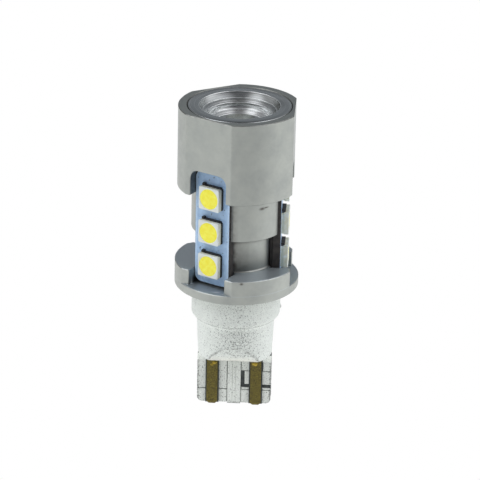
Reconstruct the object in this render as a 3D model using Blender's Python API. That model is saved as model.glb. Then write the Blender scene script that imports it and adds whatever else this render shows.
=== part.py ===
"""Wedge base LED bulb, as an assembly of its own pieces.

A turned and milled aluminium heat sink carries three upright LED boards in
milled slots and a stepped reflector with one more LED at its bottom. Its
spigot sits in a white housing that holds the driver board, whose lower end is
the wedge of the base with a folded brass contact on each side.

Metres, +Z up. The origin is on the bulb's axis, level with the lowest point of
the contacts. The wide faces of the wedge look along -Y and +Y.
"""
import math

import bmesh
import bpy
from mathutils import Matrix, Vector

MM = 0.001

# Clearances
SEAT_GAP = 0.3 * MM             # between a piece and what it rests on
SLOT_CLEARANCE = 0.12 * MM      # each side of an LED board in its slot
INSERT_CLEARANCE = 0.32 * MM    # round the reflector in its pocket
GEL_CLEARANCE = 0.1 * MM        # round the phosphor gel in its recess

# Driver board and wedge
WEDGE_WIDTH = 9.5 * MM
WEDGE_LENGTH = 6.8 * MM         # lower edge to the shoulders under the housing
WEDGE_CORNER = 0.6 * MM
DRIVER_BOARD_THICKNESS = 1.6 * MM
CENTRE_TAB_WIDTH = 1.8 * MM
CENTRE_TAB_DROP = 0.15 * MM     # the tab reaches this far below the lower edge
TONGUE_WIDTH = 6.2 * MM         # upper part, inside the housing
TONGUE_LENGTH = 6.4 * MM

# Folded brass contacts
CONTACT_SPACING = 5.6 * MM
CONTACT_WIDTH = 1.4 * MM
CONTACT_SHEET = 0.2 * MM
CONTACT_TOP_GAP = 0.1 * MM      # below the shoulders of the board
CONTACT_CORNER = 0.25 * MM      # cut corners at the fold

# Housing
BODY_HEIGHT = 4.65 * MM
BODY_WALL = 1.3 * MM
SHOULDER_HEIGHT = 1.2 * MM
COLLAR_HEIGHT = 3.55 * MM
COLLAR_WALL = 1.06 * MM
HOUSING_FLOOR = 1.0 * MM
CAVITY_CLEARANCE = 0.45 * MM    # round the corners of the tongue
FACET_DEPTH = 1.27 * MM         # how deep the sloped facets cut at the bottom
FACET_RISE = 2.2 * MM

# Heat sink
SPIGOT_RADIUS = 4.3 * MM
SPIGOT_LENGTH = 2.6 * MM
HEAD_RADIUS = 7.66 * MM
FLANGE_OVERHANG = 0.2 * MM      # flange radius beyond the head's
FLANGE_DISC_HEIGHT = 1.15 * MM  # full round part under the flats
FLANGE_NOTCH_HEIGHT = 2.0 * MM
FLAT_DEPTH = 0.76 * MM          # three flats, milled this deep into the head
LOWER_NECK_RADIUS = 4.78 * MM
LOWER_NECK_HEIGHT = 4.5 * MM
NECK_STEP = 1.05 * MM
UPPER_NECK_HEIGHT = 5.6 * MM
NECK_FILLET = 0.3 * MM
SLOT_DEPTH = 0.48 * MM          # slot floor below the lower neck's surface
SLOT_RISE = 3.5 * MM            # how far the slots run up into the head
SLOT_CORNER = 1.2 * MM
SLOT_ROOF = 0.7 * MM            # metal between a slot and the pocket above it
RIM_WALL = 0.34 * MM            # thinnest wall of the pocket, at the flats
EDGE_BREAK = 0.12 * MM
WIRE_BORE_RADIUS = 1.9 * MM
LEAD_HOLE_RADIUS = 0.72 * MM
LEAD_HOLE_HEIGHT = 1.9 * MM     # above the flange

# LED boards and LEDs
SIDES = 3
LEDS_PER_SIDE = 3
LED_SIZE = 3.0 * MM
LED_HEIGHT = 0.65 * MM
LED_CORNER = 0.2 * MM
LED_BEVEL = 0.08 * MM
LED_RIM = 0.2 * MM              # white rim beside the recess
RECESS_DEPTH = 0.3 * MM
GEL_HEIGHT = 0.2 * MM
BOARD_BORDER = 1.06 * MM        # board beyond the LED on each side
BOARD_THICKNESS = 1.0 * MM
BOARD_CORNER = 1.0 * MM
FIRST_LED_HEIGHT = 2.75 * MM    # lowest LED's centre above the board's end
LAST_LED_DEPTH = 3.25 * MM      # highest LED's centre below the board's end
END_BOARD_THICKNESS = 0.8 * MM

# Reflector
CUP_HEIGHT = 4.93 * MM
CUP_RIM = 1.2 * MM              # flat ring round the mouth
CUP_CHAMFER = 0.12 * MM
CUP_STEPS = 2
CUP_WALL_DROP = 0.7 * MM        # height of each step's steep wall
CUP_WALL_LEAN = 0.4 * MM        # how far each wall leans in
CUP_TREAD_DROP = 0.42 * MM      # fall of the shallow tread below each wall
THROAT_CLEARANCE = 1.0 * MM     # round the corners of the LED

# Driver parts: width along X, height along Z and depth off the board
RECTIFIER_WIDTH = 3.6 * MM
RECTIFIER_HEIGHT = 2.4 * MM
RECTIFIER_DEPTH = 1.2 * MM
CHIP_WIDTH = 2.9 * MM
CHIP_HEIGHT = 1.6 * MM
CHIP_DEPTH = 1.0 * MM
INDUCTOR_WIDTH = 3.0 * MM
INDUCTOR_HEIGHT = 3.0 * MM
INDUCTOR_DEPTH = 1.4 * MM
CAPACITOR_WIDTH = 3.2 * MM
CAPACITOR_HEIGHT = 1.3 * MM
CAPACITOR_DEPTH = 1.1 * MM
DRIVER_PART_GAP = 0.4 * MM      # from one part to the next
DRIVER_PART_EDGE = 0.1 * MM

# Leads
LEAD_RADIUS = 0.28 * MM
LEAD_CIRCLE = 1.15 * MM         # radius on which the leads stand in the bore
LEAD_BEND = 0.6 * MM

# Fineness of round shapes, and how shapes are cut and finished
ROUND_STEPS = 72
HOUSING_STEPS = 48
LED_STEPS = 24
LEAD_HOLE_STEPS = 12
LEAD_STEPS = 2
CORNER_STEPS = 4
OVERCUT = 1.0 * MM              # how far a cutter reaches past what it cuts
SHARP_ANGLE = 30                # degrees; steeper edges stay crisp
MERGE_DISTANCE = 0.001 * MM

# Heights, from the lowest point up
wedge_bottom = CENTRE_TAB_DROP
wedge_shoulder = wedge_bottom + WEDGE_LENGTH
housing_bottom = wedge_shoulder + SEAT_GAP
body_top = housing_bottom + BODY_HEIGHT
collar_bottom = body_top + SHOULDER_HEIGHT
housing_top = collar_bottom + COLLAR_HEIGHT
flange_bottom = housing_top + SEAT_GAP
ledge = flange_bottom + FLANGE_DISC_HEIGHT
flange_top = ledge + FLANGE_NOTCH_HEIGHT
lower_neck_top = flange_top + LOWER_NECK_HEIGHT
head_bottom = lower_neck_top + UPPER_NECK_HEIGHT
slot_top = head_bottom + SLOT_RISE
pocket_floor = slot_top + SLOT_ROOF
end_board_bottom = pocket_floor + SEAT_GAP
end_board_top = end_board_bottom + END_BOARD_THICKNESS
cup_bottom = end_board_top + SEAT_GAP
head_top = cup_bottom + CUP_HEIGHT
spigot_bottom = flange_bottom - SPIGOT_LENGTH
socket_floor = spigot_bottom - SEAT_GAP
tongue_top = wedge_shoulder + TONGUE_LENGTH

# Radii and distances from the axis
flange_radius = HEAD_RADIUS + FLANGE_OVERHANG
flat_distance = HEAD_RADIUS - FLAT_DEPTH
upper_neck_radius = LOWER_NECK_RADIUS + NECK_STEP
slot_floor = LOWER_NECK_RADIUS - SLOT_DEPTH
pocket_radius = flat_distance - RIM_WALL
insert_radius = pocket_radius - INSERT_CLEARANCE
mouth_radius = insert_radius - CUP_RIM
throat_radius = LED_SIZE / math.sqrt(2) + THROAT_CLEARANCE
board_width = LED_SIZE + 2 * BOARD_BORDER
board_back = slot_floor + SEAT_GAP
board_front = board_back + BOARD_THICKNESS
socket_radius = SPIGOT_RADIUS + SEAT_GAP
collar_radius = socket_radius + COLLAR_WALL
cavity_radius = math.hypot(TONGUE_WIDTH / 2, DRIVER_BOARD_THICKNESS / 2) + CAVITY_CLEARANCE
body_top_radius = cavity_radius + BODY_WALL
body_bottom_radius = WEDGE_WIDTH / 2
contact_inside = DRIVER_BOARD_THICKNESS / 2 + SEAT_GAP
lead_hole_centre = flange_top + LEAD_HOLE_HEIGHT


def clear_scene():
    for old in list(bpy.data.objects):
        bpy.data.objects.remove(old, do_unlink=True)


def material(name, colour, roughness, metallic=0.0):
    made = bpy.data.materials.new(name)
    made.use_nodes = True
    shader = made.node_tree.nodes["Principled BSDF"]
    shader.inputs["Base Color"].default_value = (*colour, 1.0)
    shader.inputs["Roughness"].default_value = roughness
    shader.inputs["Metallic"].default_value = metallic
    return made


def place(name, mesh, finish=None, parent=None, location=(0, 0, 0), rotation=(0, 0, 0)):
    """Put a mesh or curve into the scene under a name."""
    item = bpy.data.objects.new(name, mesh)
    bpy.context.collection.objects.link(item)
    item.location = location
    item.rotation_euler = rotation
    item.parent = parent
    if finish is not None and not mesh.materials:
        mesh.materials.append(finish)
    return item


def finished_mesh(name, shape):
    """Turn a bmesh into a mesh with outward faces and crisp edges."""
    bmesh.ops.recalc_face_normals(shape, faces=shape.faces)
    mesh = bpy.data.meshes.new(name)
    shape.to_mesh(mesh)
    shape.free()
    mesh.shade_smooth()
    mesh.set_sharp_from_angle(angle=math.radians(SHARP_ANGLE))
    return mesh


def turned(name, profile, steps):
    """Turn a (radius, height) outline round the Z axis; it closes unless it starts on the axis."""
    shape = bmesh.new()
    corners = [shape.verts.new((radius, 0, height)) for radius, height in profile]
    edges = [shape.edges.new(pair) for pair in zip(corners, corners[1:])]
    if profile[0][0] > 0:
        edges.append(shape.edges.new((corners[-1], corners[0])))
    bmesh.ops.spin(shape, geom=corners + edges, axis=(0, 0, 1), cent=(0, 0, 0),
                   steps=steps, angle=2 * math.pi, use_merge=True)
    bmesh.ops.remove_doubles(shape, verts=shape.verts, dist=MERGE_DISTANCE)
    return finished_mesh(name, shape)


def extruded(name, outline, axis, start, end):
    """Extrude a closed outline along X or Y; the outline holds (across, up) points."""
    shape = bmesh.new()
    if axis == "X":
        corners = [shape.verts.new((start, across, up)) for across, up in outline]
        push = Vector((end - start, 0, 0))
    else:
        corners = [shape.verts.new((across, start, up)) for across, up in outline]
        push = Vector((0, end - start, 0))
    face = shape.faces.new(corners)
    grown = bmesh.ops.extrude_face_region(shape, geom=[face])
    moved = [item for item in grown["geom"] if isinstance(item, bmesh.types.BMVert)]
    bmesh.ops.translate(shape, verts=moved, vec=push)
    return finished_mesh(name, shape)


def ring_stack(name, rings):
    """Join equal rings of points, and close the first and the last."""
    shape = bmesh.new()
    loops = [[shape.verts.new(point) for point in ring] for ring in rings]
    for low, high in zip(loops, loops[1:]):
        for i in range(len(low)):
            j = (i + 1) % len(low)
            shape.faces.new((low[i], low[j], high[j], high[i]))
    shape.faces.new(loops[0])
    shape.faces.new(loops[-1])
    return finished_mesh(name, shape)


def arc(centre, radius, first, last, steps=CORNER_STEPS):
    """Points on an arc, with angles in degrees."""
    points = []
    for i in range(steps + 1):
        angle = math.radians(first + (last - first) * i / steps)
        points.append((centre[0] + radius * math.cos(angle), centre[1] + radius * math.sin(angle)))
    return points


def rounded_rectangle(width, bottom, top, radius):
    side = width / 2 - radius
    low = bottom + radius
    high = top - radius
    return (arc((side, low), radius, -90, 0) + arc((side, high), radius, 0, 90)
            + arc((-side, high), radius, 90, 180) + arc((-side, low), radius, 180, 270))


def square_ring(half, corner, height, steps=LED_STEPS):
    """A ring of evenly turned points on a rounded square."""
    points = []
    for i in range(steps):
        angle = 2 * math.pi * (i + 0.5) / steps
        way = Vector((math.cos(angle), math.sin(angle)))
        reach = half / max(abs(way.x), abs(way.y))
        point = way * reach
        inner = half - corner
        if abs(point.x) > inner and abs(point.y) > inner:
            centre = Vector((math.copysign(inner, point.x), math.copysign(inner, point.y)))
            along = way.dot(centre)
            reach = along + math.sqrt(along ** 2 - centre.length_squared + corner ** 2)
            point = way * reach
        points.append((point.x, point.y, height))
    return points


def round_ring(radius, height, steps=LED_STEPS):
    angles = [2 * math.pi * (i + 0.5) / steps for i in range(steps)]
    return [(radius * math.cos(a), radius * math.sin(a), height) for a in angles]


def box_mesh(name, size, edge):
    """A block with broken edges, centred on X and Z, its back on the plane Y = 0."""
    width, height, depth = size
    shape = bmesh.new()
    bmesh.ops.create_cube(shape, size=1)
    bmesh.ops.scale(shape, vec=(width, depth, height), verts=shape.verts)
    bmesh.ops.translate(shape, vec=(0, -depth / 2, 0), verts=shape.verts)
    bmesh.ops.bevel(shape, geom=shape.edges[:], offset=edge, segments=1, affect="EDGES")
    return finished_mesh(name, shape)


def around_the_axis(name, mesh, copies):
    """Copies of a mesh in one, evenly turned round the Z axis."""
    joined = bmesh.new()
    for i in range(copies):
        before = len(joined.verts)
        joined.from_mesh(mesh)
        joined.verts.ensure_lookup_table()
        bmesh.ops.rotate(joined, verts=joined.verts[before:], cent=(0, 0, 0),
                         matrix=Matrix.Rotation(2 * math.pi * i / copies, 3, "Z"))
    return finished_mesh(name, joined)


def cut(item, name, mesh):
    """Cut a shape, given in the object's own frame, out of the object."""
    cutter = place(name, mesh, None, item.parent, item.location, item.rotation_euler)
    cutter.hide_render = True
    cutter.display_type = "WIRE"
    modifier = item.modifiers.new(name, "BOOLEAN")
    modifier.operation = "DIFFERENCE"
    modifier.solver = "EXACT"
    modifier.object = cutter


def make_heat_sink(finish, frame):
    """Spigot, flange, two necks and head, turned from one bar and then milled."""
    fillet = arc((LOWER_NECK_RADIUS + NECK_FILLET, flange_top + NECK_FILLET), NECK_FILLET, 270, 180)
    outline = [
        (WIRE_BORE_RADIUS, spigot_bottom),
        (SPIGOT_RADIUS - EDGE_BREAK, spigot_bottom),
        (SPIGOT_RADIUS, spigot_bottom + EDGE_BREAK),
        (SPIGOT_RADIUS, flange_bottom),
        (flange_radius - EDGE_BREAK, flange_bottom),
        (flange_radius, flange_bottom + EDGE_BREAK),
        (flange_radius, flange_top),
        *fillet,
        (LOWER_NECK_RADIUS, lower_neck_top),
        (upper_neck_radius, lower_neck_top),
        (upper_neck_radius, head_bottom),
        (HEAD_RADIUS, head_bottom),
        (HEAD_RADIUS, head_top - EDGE_BREAK),
        (HEAD_RADIUS - EDGE_BREAK, head_top),
        (pocket_radius, head_top),
        (pocket_radius, pocket_floor),
        (WIRE_BORE_RADIUS, pocket_floor),
    ]
    body = place("heat_sink_body", turned("heat_sink_body", outline, ROUND_STEPS), finish, frame)

    past = flange_radius + OVERCUT
    above = head_top + OVERCUT
    half_flat = math.sqrt(flange_radius ** 2 - flat_distance ** 2) + OVERCUT
    flat_outline = [(-half_flat, ledge), (half_flat, ledge), (half_flat, above), (-half_flat, above)]
    flat_block = extruded("flat_block", flat_outline, "X", flat_distance, past)
    cut(body, "flat_cutter", around_the_axis("flat_cutter", flat_block, SIDES))

    half_slot = board_width / 2 + SLOT_CLEARANCE
    round_top = slot_top - SLOT_CORNER
    side = half_slot - SLOT_CORNER
    slot_outline = [(-half_slot, ledge), (half_slot, ledge),
                    *arc((side, round_top), SLOT_CORNER, 0, 90),
                    *arc((-side, round_top), SLOT_CORNER, 90, 180)]
    slot_block = extruded("slot_block", slot_outline, "X", slot_floor, past)
    cut(body, "slot_cutter", around_the_axis("slot_cutter", slot_block, SIDES))

    hole_ring = round_ring(LEAD_HOLE_RADIUS, 0, LEAD_HOLE_STEPS)
    hole_outline = [(across, lead_hole_centre + up) for across, up, _ in hole_ring]
    hole_block = extruded("hole_block", hole_outline, "X", WIRE_BORE_RADIUS - OVERCUT, past)
    cut(body, "lead_hole_cutter", around_the_axis("lead_hole_cutter", hole_block, SIDES))


def make_reflector(finish, frame):
    """A ring pressed into the pocket: dished steps from its mouth down to a straight throat."""
    radius = mouth_radius - CUP_CHAMFER
    level = head_top - CUP_CHAMFER
    step_width = (radius - throat_radius) / CUP_STEPS
    outline = [
        (throat_radius, cup_bottom),
        (insert_radius, cup_bottom),
        (insert_radius, head_top),
        (mouth_radius, head_top),
        (radius, level),
    ]
    for _ in range(CUP_STEPS):
        outline.append((radius - CUP_WALL_LEAN, level - CUP_WALL_DROP))
        radius -= step_width
        level -= CUP_WALL_DROP + CUP_TREAD_DROP
        outline.append((radius, level))
    place("reflector_cup", turned("reflector_cup", outline, ROUND_STEPS), finish, frame)


def led_package_mesh():
    """A white moulded square with a round recess for the phosphor gel."""
    half = LED_SIZE / 2
    recess = half - LED_RIM
    return ring_stack("led_package", [
        square_ring(half, LED_CORNER, 0),
        square_ring(half, LED_CORNER, LED_HEIGHT - LED_BEVEL),
        square_ring(half - LED_BEVEL, LED_CORNER, LED_HEIGHT),
        round_ring(recess, LED_HEIGHT),
        round_ring(recess, LED_HEIGHT - RECESS_DEPTH),
    ])


def led_gel_mesh():
    radius = LED_SIZE / 2 - LED_RIM - GEL_CLEARANCE
    top = LED_HEIGHT
    return ring_stack("led_gel", [
        round_ring(radius, top - GEL_HEIGHT),
        round_ring(radius, top),
    ])


def place_led(ending, seat, turn, package, gel, parent):
    """One LED on its seat: the package and the gel in its recess."""
    place(f"led_package_{ending}", package, None, parent, seat, turn)
    place(f"led_phosphor_{ending}", gel, None, parent, seat, turn)


def make_side_lights(board_finish, package, gel, faces):
    """A board with a column of LEDs in each slot, facing along its empty's X axis."""
    board_bottom = ledge + SEAT_GAP
    board_length = slot_top - ledge - 2 * SEAT_GAP
    outline = rounded_rectangle(board_width, 0, board_length, BOARD_CORNER)
    board = extruded("side_led_board", outline, "X", 0, BOARD_THICKNESS)
    pitch = (board_length - FIRST_LED_HEIGHT - LAST_LED_DEPTH) / (LEDS_PER_SIDE - 1)
    for side, face in enumerate(faces, 1):
        place(f"side_led_board_{side}", board, board_finish, face, (board_back, 0, board_bottom))
        for i in range(LEDS_PER_SIDE):
            seat = (board_front + SEAT_GAP, 0, board_bottom + FIRST_LED_HEIGHT + pitch * i)
            place_led(f"{side}_{i + 1}", seat, (0, math.pi / 2, 0), package, gel, face)


def make_end_light(board_finish, package, gel, frame):
    """The round board at the bottom of the pocket, with the LED that shines up the cup."""
    radius = pocket_radius - SEAT_GAP
    disc = ring_stack("end_led_board", [
        round_ring(radius, end_board_bottom, HOUSING_STEPS),
        round_ring(radius, end_board_top, HOUSING_STEPS),
    ])
    place("end_led_board", disc, board_finish, frame)
    place_led("end", (0, 0, end_board_top + SEAT_GAP), (0, 0, 0), package, gel, frame)


def make_housing(finish, frame):
    """A moulded shell, open to the heat sink's spigot and slotted below for the driver board."""
    outline = [
        (0, housing_bottom + HOUSING_FLOOR),
        (cavity_radius, housing_bottom + HOUSING_FLOOR),
        (cavity_radius, socket_floor),
        (socket_radius, socket_floor),
        (socket_radius, housing_top),
        (collar_radius, housing_top),
        (collar_radius, collar_bottom),
    ]
    drop = collar_radius - body_top_radius
    for i in range(1, CORNER_STEPS):
        turn = math.pi / 2 * i / CORNER_STEPS
        outline.append((collar_radius - drop * (1 - math.cos(turn)),
                        collar_bottom - SHOULDER_HEIGHT * math.sin(turn)))
    outline += [
        (body_top_radius, body_top),
        (body_bottom_radius, housing_bottom),
        (0, housing_bottom),
    ]
    body = place("base_housing", turned("base_housing", outline, HOUSING_STEPS), finish, frame)

    lip = body_bottom_radius - FACET_DEPTH
    inner = (lip - FACET_DEPTH, housing_bottom - FACET_RISE)
    outer = (lip + 2 * FACET_DEPTH, housing_bottom + 2 * FACET_RISE)
    facet = extruded("facet_block", [inner, (outer[0], inner[1]), outer], "X",
                     -body_top_radius, body_top_radius)
    cut(body, "facet_cutter", around_the_axis("facet_cutter", facet, 2))

    half_width = TONGUE_WIDTH / 2 + SEAT_GAP
    half_depth = DRIVER_BOARD_THICKNESS / 2 + SEAT_GAP
    below = housing_bottom - OVERCUT
    above = housing_bottom + HOUSING_FLOOR + OVERCUT
    slot = [(-half_width, below), (half_width, below), (half_width, above), (-half_width, above)]
    cut(body, "board_slot_cutter", extruded("board_slot_cutter", slot, "Y", -half_depth, half_depth))


def make_driver_board(finish, frame):
    """One board: a narrow tongue for the driver parts, and the wide wedge under the housing."""
    half = WEDGE_WIDTH / 2
    half_tongue = TONGUE_WIDTH / 2
    half_tab = CENTRE_TAB_WIDTH / 2
    notch_top = CONTACT_SHEET + SEAT_GAP
    outline = arc((WEDGE_CORNER - half, wedge_bottom + WEDGE_CORNER), WEDGE_CORNER, 180, 270)
    for centre in (-CONTACT_SPACING / 2, CONTACT_SPACING / 2):
        near = centre - CONTACT_WIDTH / 2 - SEAT_GAP
        far = centre + CONTACT_WIDTH / 2 + SEAT_GAP
        outline += [(near, wedge_bottom), (near, notch_top), (far, notch_top), (far, wedge_bottom)]
        if centre < 0:
            outline += [(-half_tab, wedge_bottom), (CENTRE_TAB_DROP - half_tab, 0),
                        (half_tab - CENTRE_TAB_DROP, 0), (half_tab, wedge_bottom)]
    outline += arc((half - WEDGE_CORNER, wedge_bottom + WEDGE_CORNER), WEDGE_CORNER, 270, 360)
    outline += [(half, wedge_shoulder), (half_tongue, wedge_shoulder), (half_tongue, tongue_top),
                (-half_tongue, tongue_top), (-half_tongue, wedge_shoulder), (-half, wedge_shoulder)]
    half_depth = DRIVER_BOARD_THICKNESS / 2
    place("driver_board", extruded("driver_board", outline, "Y", -half_depth, half_depth), finish, frame)


def make_contacts(finish, frame):
    """A strip of sheet brass on each side of the tab, folded under the wedge and up its back."""
    inside = contact_inside
    outside = contact_inside + CONTACT_SHEET
    top = wedge_shoulder - CONTACT_TOP_GAP
    bend = 2 * CONTACT_SHEET
    outline = arc((outside - bend, bend), bend, 270, 360)
    outline += [(outside, top), (inside, top)]
    outline += arc((inside - CONTACT_SHEET, bend), CONTACT_SHEET, 360, 270)
    outline += arc((CONTACT_SHEET - inside, bend), CONTACT_SHEET, 270, 180)
    outline += [(-inside, top), (-outside, top)]
    outline += arc((bend - outside, bend), bend, 180, 270)
    half = CONTACT_WIDTH / 2
    strip = extruded("contact", outline, "X", -half, half)
    tip = CONTACT_CORNER
    corner = extruded("corner_block", [(half + tip, -tip), (half + tip, 2 * tip), (half - 2 * tip, -tip)],
                      "Y", -outside - tip, outside + tip)
    corners = around_the_axis("contact_corner_cutter", corner, 2)
    for name, side in (("left_contact", -1), ("right_contact", 1)):
        contact = place(name, strip, finish, frame, (side * CONTACT_SPACING / 2, 0, 0))
        cut(contact, f"{name}_corner_cutter", corners)


def make_driver_parts(black, ferrite, ceramic, frame):
    """The parts on the tongue: two on the front, two on the back, from the floor up."""
    surface = DRIVER_BOARD_THICKNESS / 2 + SEAT_GAP
    rectifier = (RECTIFIER_WIDTH, RECTIFIER_HEIGHT, RECTIFIER_DEPTH)
    chip = (CHIP_WIDTH, CHIP_HEIGHT, CHIP_DEPTH)
    inductor = (INDUCTOR_WIDTH, INDUCTOR_HEIGHT, INDUCTOR_DEPTH)
    capacitor = (CAPACITOR_WIDTH, CAPACITOR_HEIGHT, CAPACITOR_DEPTH)
    columns = (
        (-1, 0, (("rectifier_bridge", rectifier, black), ("driver_chip", chip, black))),
        (1, math.pi, (("power_inductor", inductor, ferrite), ("input_capacitor", capacitor, ceramic))),
    )
    for side, turn, parts in columns:
        height = housing_bottom + HOUSING_FLOOR + DRIVER_PART_GAP
        for name, size, finish in parts:
            block = box_mesh(name, size, DRIVER_PART_EDGE)
            place(name, block, finish, frame, (0, side * surface, height + size[1] / 2), (0, 0, turn))
            height += size[1] + DRIVER_PART_GAP


def make_lead(name, points, finish, parent):
    """A round insulated lead along a list of points."""
    curve = bpy.data.curves.new(name, "CURVE")
    curve.dimensions = "3D"
    curve.bevel_depth = LEAD_RADIUS
    curve.bevel_resolution = LEAD_STEPS
    curve.use_fill_caps = True
    spline = curve.splines.new("POLY")
    spline.points.add(len(points) - 1)
    for knot, point in zip(spline.points, points):
        knot.co = (*point, 1)
    place(name, curve, finish, parent)


def make_leads(finish, frame, faces):
    """A lead to the back of each side board, and one up the bore to the end board."""
    start = tongue_top + SEAT_GAP
    bend_centre = (LEAD_CIRCLE + LEAD_BEND, lead_hole_centre - LEAD_BEND)
    turn = arc(bend_centre, LEAD_BEND, 180, 90)
    for side, face in enumerate(faces, 1):
        route = [(LEAD_CIRCLE, 0, start)]
        route += [(across, 0, up) for across, up in turn]
        route.append((slot_floor, 0, lead_hole_centre))
        make_lead(f"side_board_lead_{side}", route, finish, face)
    between = math.pi / SIDES
    across = (LEAD_CIRCLE * math.cos(between), LEAD_CIRCLE * math.sin(between))
    make_lead("end_board_lead", [(*across, start), (*across, pocket_floor)], finish, frame)


def main():
    clear_scene()
    frame = place("bulb_axis", None)
    faces = [place(f"slot_face_{i + 1}", None, None, frame, (0, 0, 0), (0, 0, 2 * math.pi * i / SIDES))
             for i in range(SIDES)]

    milled = material("milled_aluminium", (0.52, 0.55, 0.53), 0.38, 1.0)
    bright = material("turned_aluminium", (0.62, 0.63, 0.62), 0.22, 1.0)
    mask = material("blue_solder_mask", (0.30, 0.42, 0.56), 0.45)
    white = material("led_white", (0.72, 0.76, 0.71), 0.5)
    yellow = material("phosphor_yellow", (0.90, 0.86, 0.09), 0.4)
    potting = material("housing_white", (0.62, 0.66, 0.62), 0.7)
    board_white = material("board_white", (0.60, 0.64, 0.60), 0.6)
    brass = material("contact_brass", (0.25, 0.20, 0.06), 0.4, 1.0)
    black = material("chip_black", (0.02, 0.02, 0.02), 0.5)
    ferrite = material("ferrite_grey", (0.10, 0.10, 0.11), 0.6)
    ceramic = material("capacitor_tan", (0.42, 0.30, 0.18), 0.5)
    insulation = material("lead_white", (0.75, 0.75, 0.73), 0.5)

    package = led_package_mesh()
    package.materials.append(white)
    gel = led_gel_mesh()
    gel.materials.append(yellow)

    make_contacts(brass, frame)
    make_driver_board(board_white, frame)
    make_driver_parts(black, ferrite, ceramic, frame)
    make_housing(potting, frame)
    make_heat_sink(milled, frame)
    make_leads(insulation, frame, faces)
    make_side_lights(mask, package, gel, faces)
    make_end_light(mask, package, gel, frame)
    make_reflector(bright, frame)


main()
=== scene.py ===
import math

import bmesh
import bpy
from mathutils import Matrix, Vector, noise


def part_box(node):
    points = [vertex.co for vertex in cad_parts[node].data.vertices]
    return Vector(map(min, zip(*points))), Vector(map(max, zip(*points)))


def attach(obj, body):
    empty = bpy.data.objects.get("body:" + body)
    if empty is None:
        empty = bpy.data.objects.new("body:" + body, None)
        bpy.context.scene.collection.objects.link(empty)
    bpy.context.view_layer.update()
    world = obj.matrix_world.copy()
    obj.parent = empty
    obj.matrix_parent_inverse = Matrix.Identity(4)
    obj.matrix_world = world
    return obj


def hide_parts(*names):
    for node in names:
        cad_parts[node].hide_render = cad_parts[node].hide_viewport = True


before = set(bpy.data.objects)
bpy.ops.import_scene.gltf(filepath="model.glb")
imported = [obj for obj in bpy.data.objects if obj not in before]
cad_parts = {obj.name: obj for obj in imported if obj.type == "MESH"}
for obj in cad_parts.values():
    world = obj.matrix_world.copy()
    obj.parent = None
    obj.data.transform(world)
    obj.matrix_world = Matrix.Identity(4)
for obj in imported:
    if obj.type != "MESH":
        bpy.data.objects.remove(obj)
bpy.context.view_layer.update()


# Camera: it looks down on the bulb from a little to the right of its front, from so far
# off that the sides hardly draw together. Lengths here and below are in metres.
MM = 0.001
CAMERA_DISTANCE = 364.33 * MM
CAMERA_AZIMUTH = math.radians(3.07)
CAMERA_ELEVATION = math.radians(22.82)
CAMERA_ROLL = math.radians(1.19)
CAMERA_LENS = 216.0
CAMERA_SENSOR = 36.0
NEAREST_SEEN = 10 * MM
FARTHEST_SEEN = 20.0
STAND = Vector((0, 0, 22.0 * MM))
AIM = Vector((0.35 * MM, 0.21 * MM, 22.46 * MM))

camera_data = bpy.data.cameras.new("camera")
camera_data.sensor_width = CAMERA_SENSOR
camera_data.lens = CAMERA_LENS
camera_data.clip_start = NEAREST_SEEN
camera_data.clip_end = FARTHEST_SEEN
camera = bpy.data.objects.new("camera", camera_data)
bpy.context.scene.collection.objects.link(camera)
straight_back = Vector((0, -math.cos(CAMERA_ELEVATION), math.sin(CAMERA_ELEVATION)))
camera.location = STAND + Matrix.Rotation(CAMERA_AZIMUTH, 3, "Z") @ straight_back * CAMERA_DISTANCE
camera.rotation_mode = "QUATERNION"
level_view = (AIM - camera.location).to_track_quat("-Z", "Y")
camera.rotation_quaternion = level_view @ Matrix.Rotation(CAMERA_ROLL, 3, "Z").to_quaternion()
bpy.context.scene.camera = camera


# Studio: a pale dome with a flat floor behind and under the bulb, and wide soft glows round
# it, each with the way it lies, the angles where it begins and ends to fade, and its light.
STAGE_RADIUS = 2.0
STAGE_STEPS = 64
STAGE_WHITE = (1.0, 1.0, 1.0, 1.0)
STAGE_UNLIT = (0.0, 0.0, 0.0, 1.0)
GLOWS = {
    "floor": ((0, 0, -1), 60, 95, (1.16, 1.16, 1.16)),
    "left_side": ((-1.0, -0.30, 0.0), 20, 70, (0.23, 0.23, 0.23)),
    "left_behind": ((-1.0, 0.45, 0.0), 10, 50, (0.08, 0.08, 0.08)),
    "right_below": ((1.0, 0.10, -0.5), 10, 50, (0.33, 0.33, 0.33)),
    "behind": ((0, 1.0, 0.3), 15, 60, (0.292, 0.31, 0.332)),
    "left_high": ((-0.9, 0.10, 0.5), 10, 40, (0.24, 0.24, 0.25)),
    "right_high": ((0.9, 0.10, 0.5), 10, 40, (1.15, 1.15, 1.18)),
    "left_front_high": ((-0.62, -0.48, 0.60), 5, 28, (1.34, 1.34, 1.38)),
    "right_front_high": ((0.62, -0.48, 0.60), 5, 28, (0.75, 0.75, 0.78)),
    "front_high": ((0, -0.80, 0.60), 8, 35, (0.17, 0.17, 0.18)),
    "left_overhead": ((-0.55, -0.17, 0.83), 8, 28, (2.30, 2.30, 2.37)),
    "right_overhead": ((0.55, -0.17, 0.83), 8, 28, (1.90, 1.90, 1.96)),
}

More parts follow.
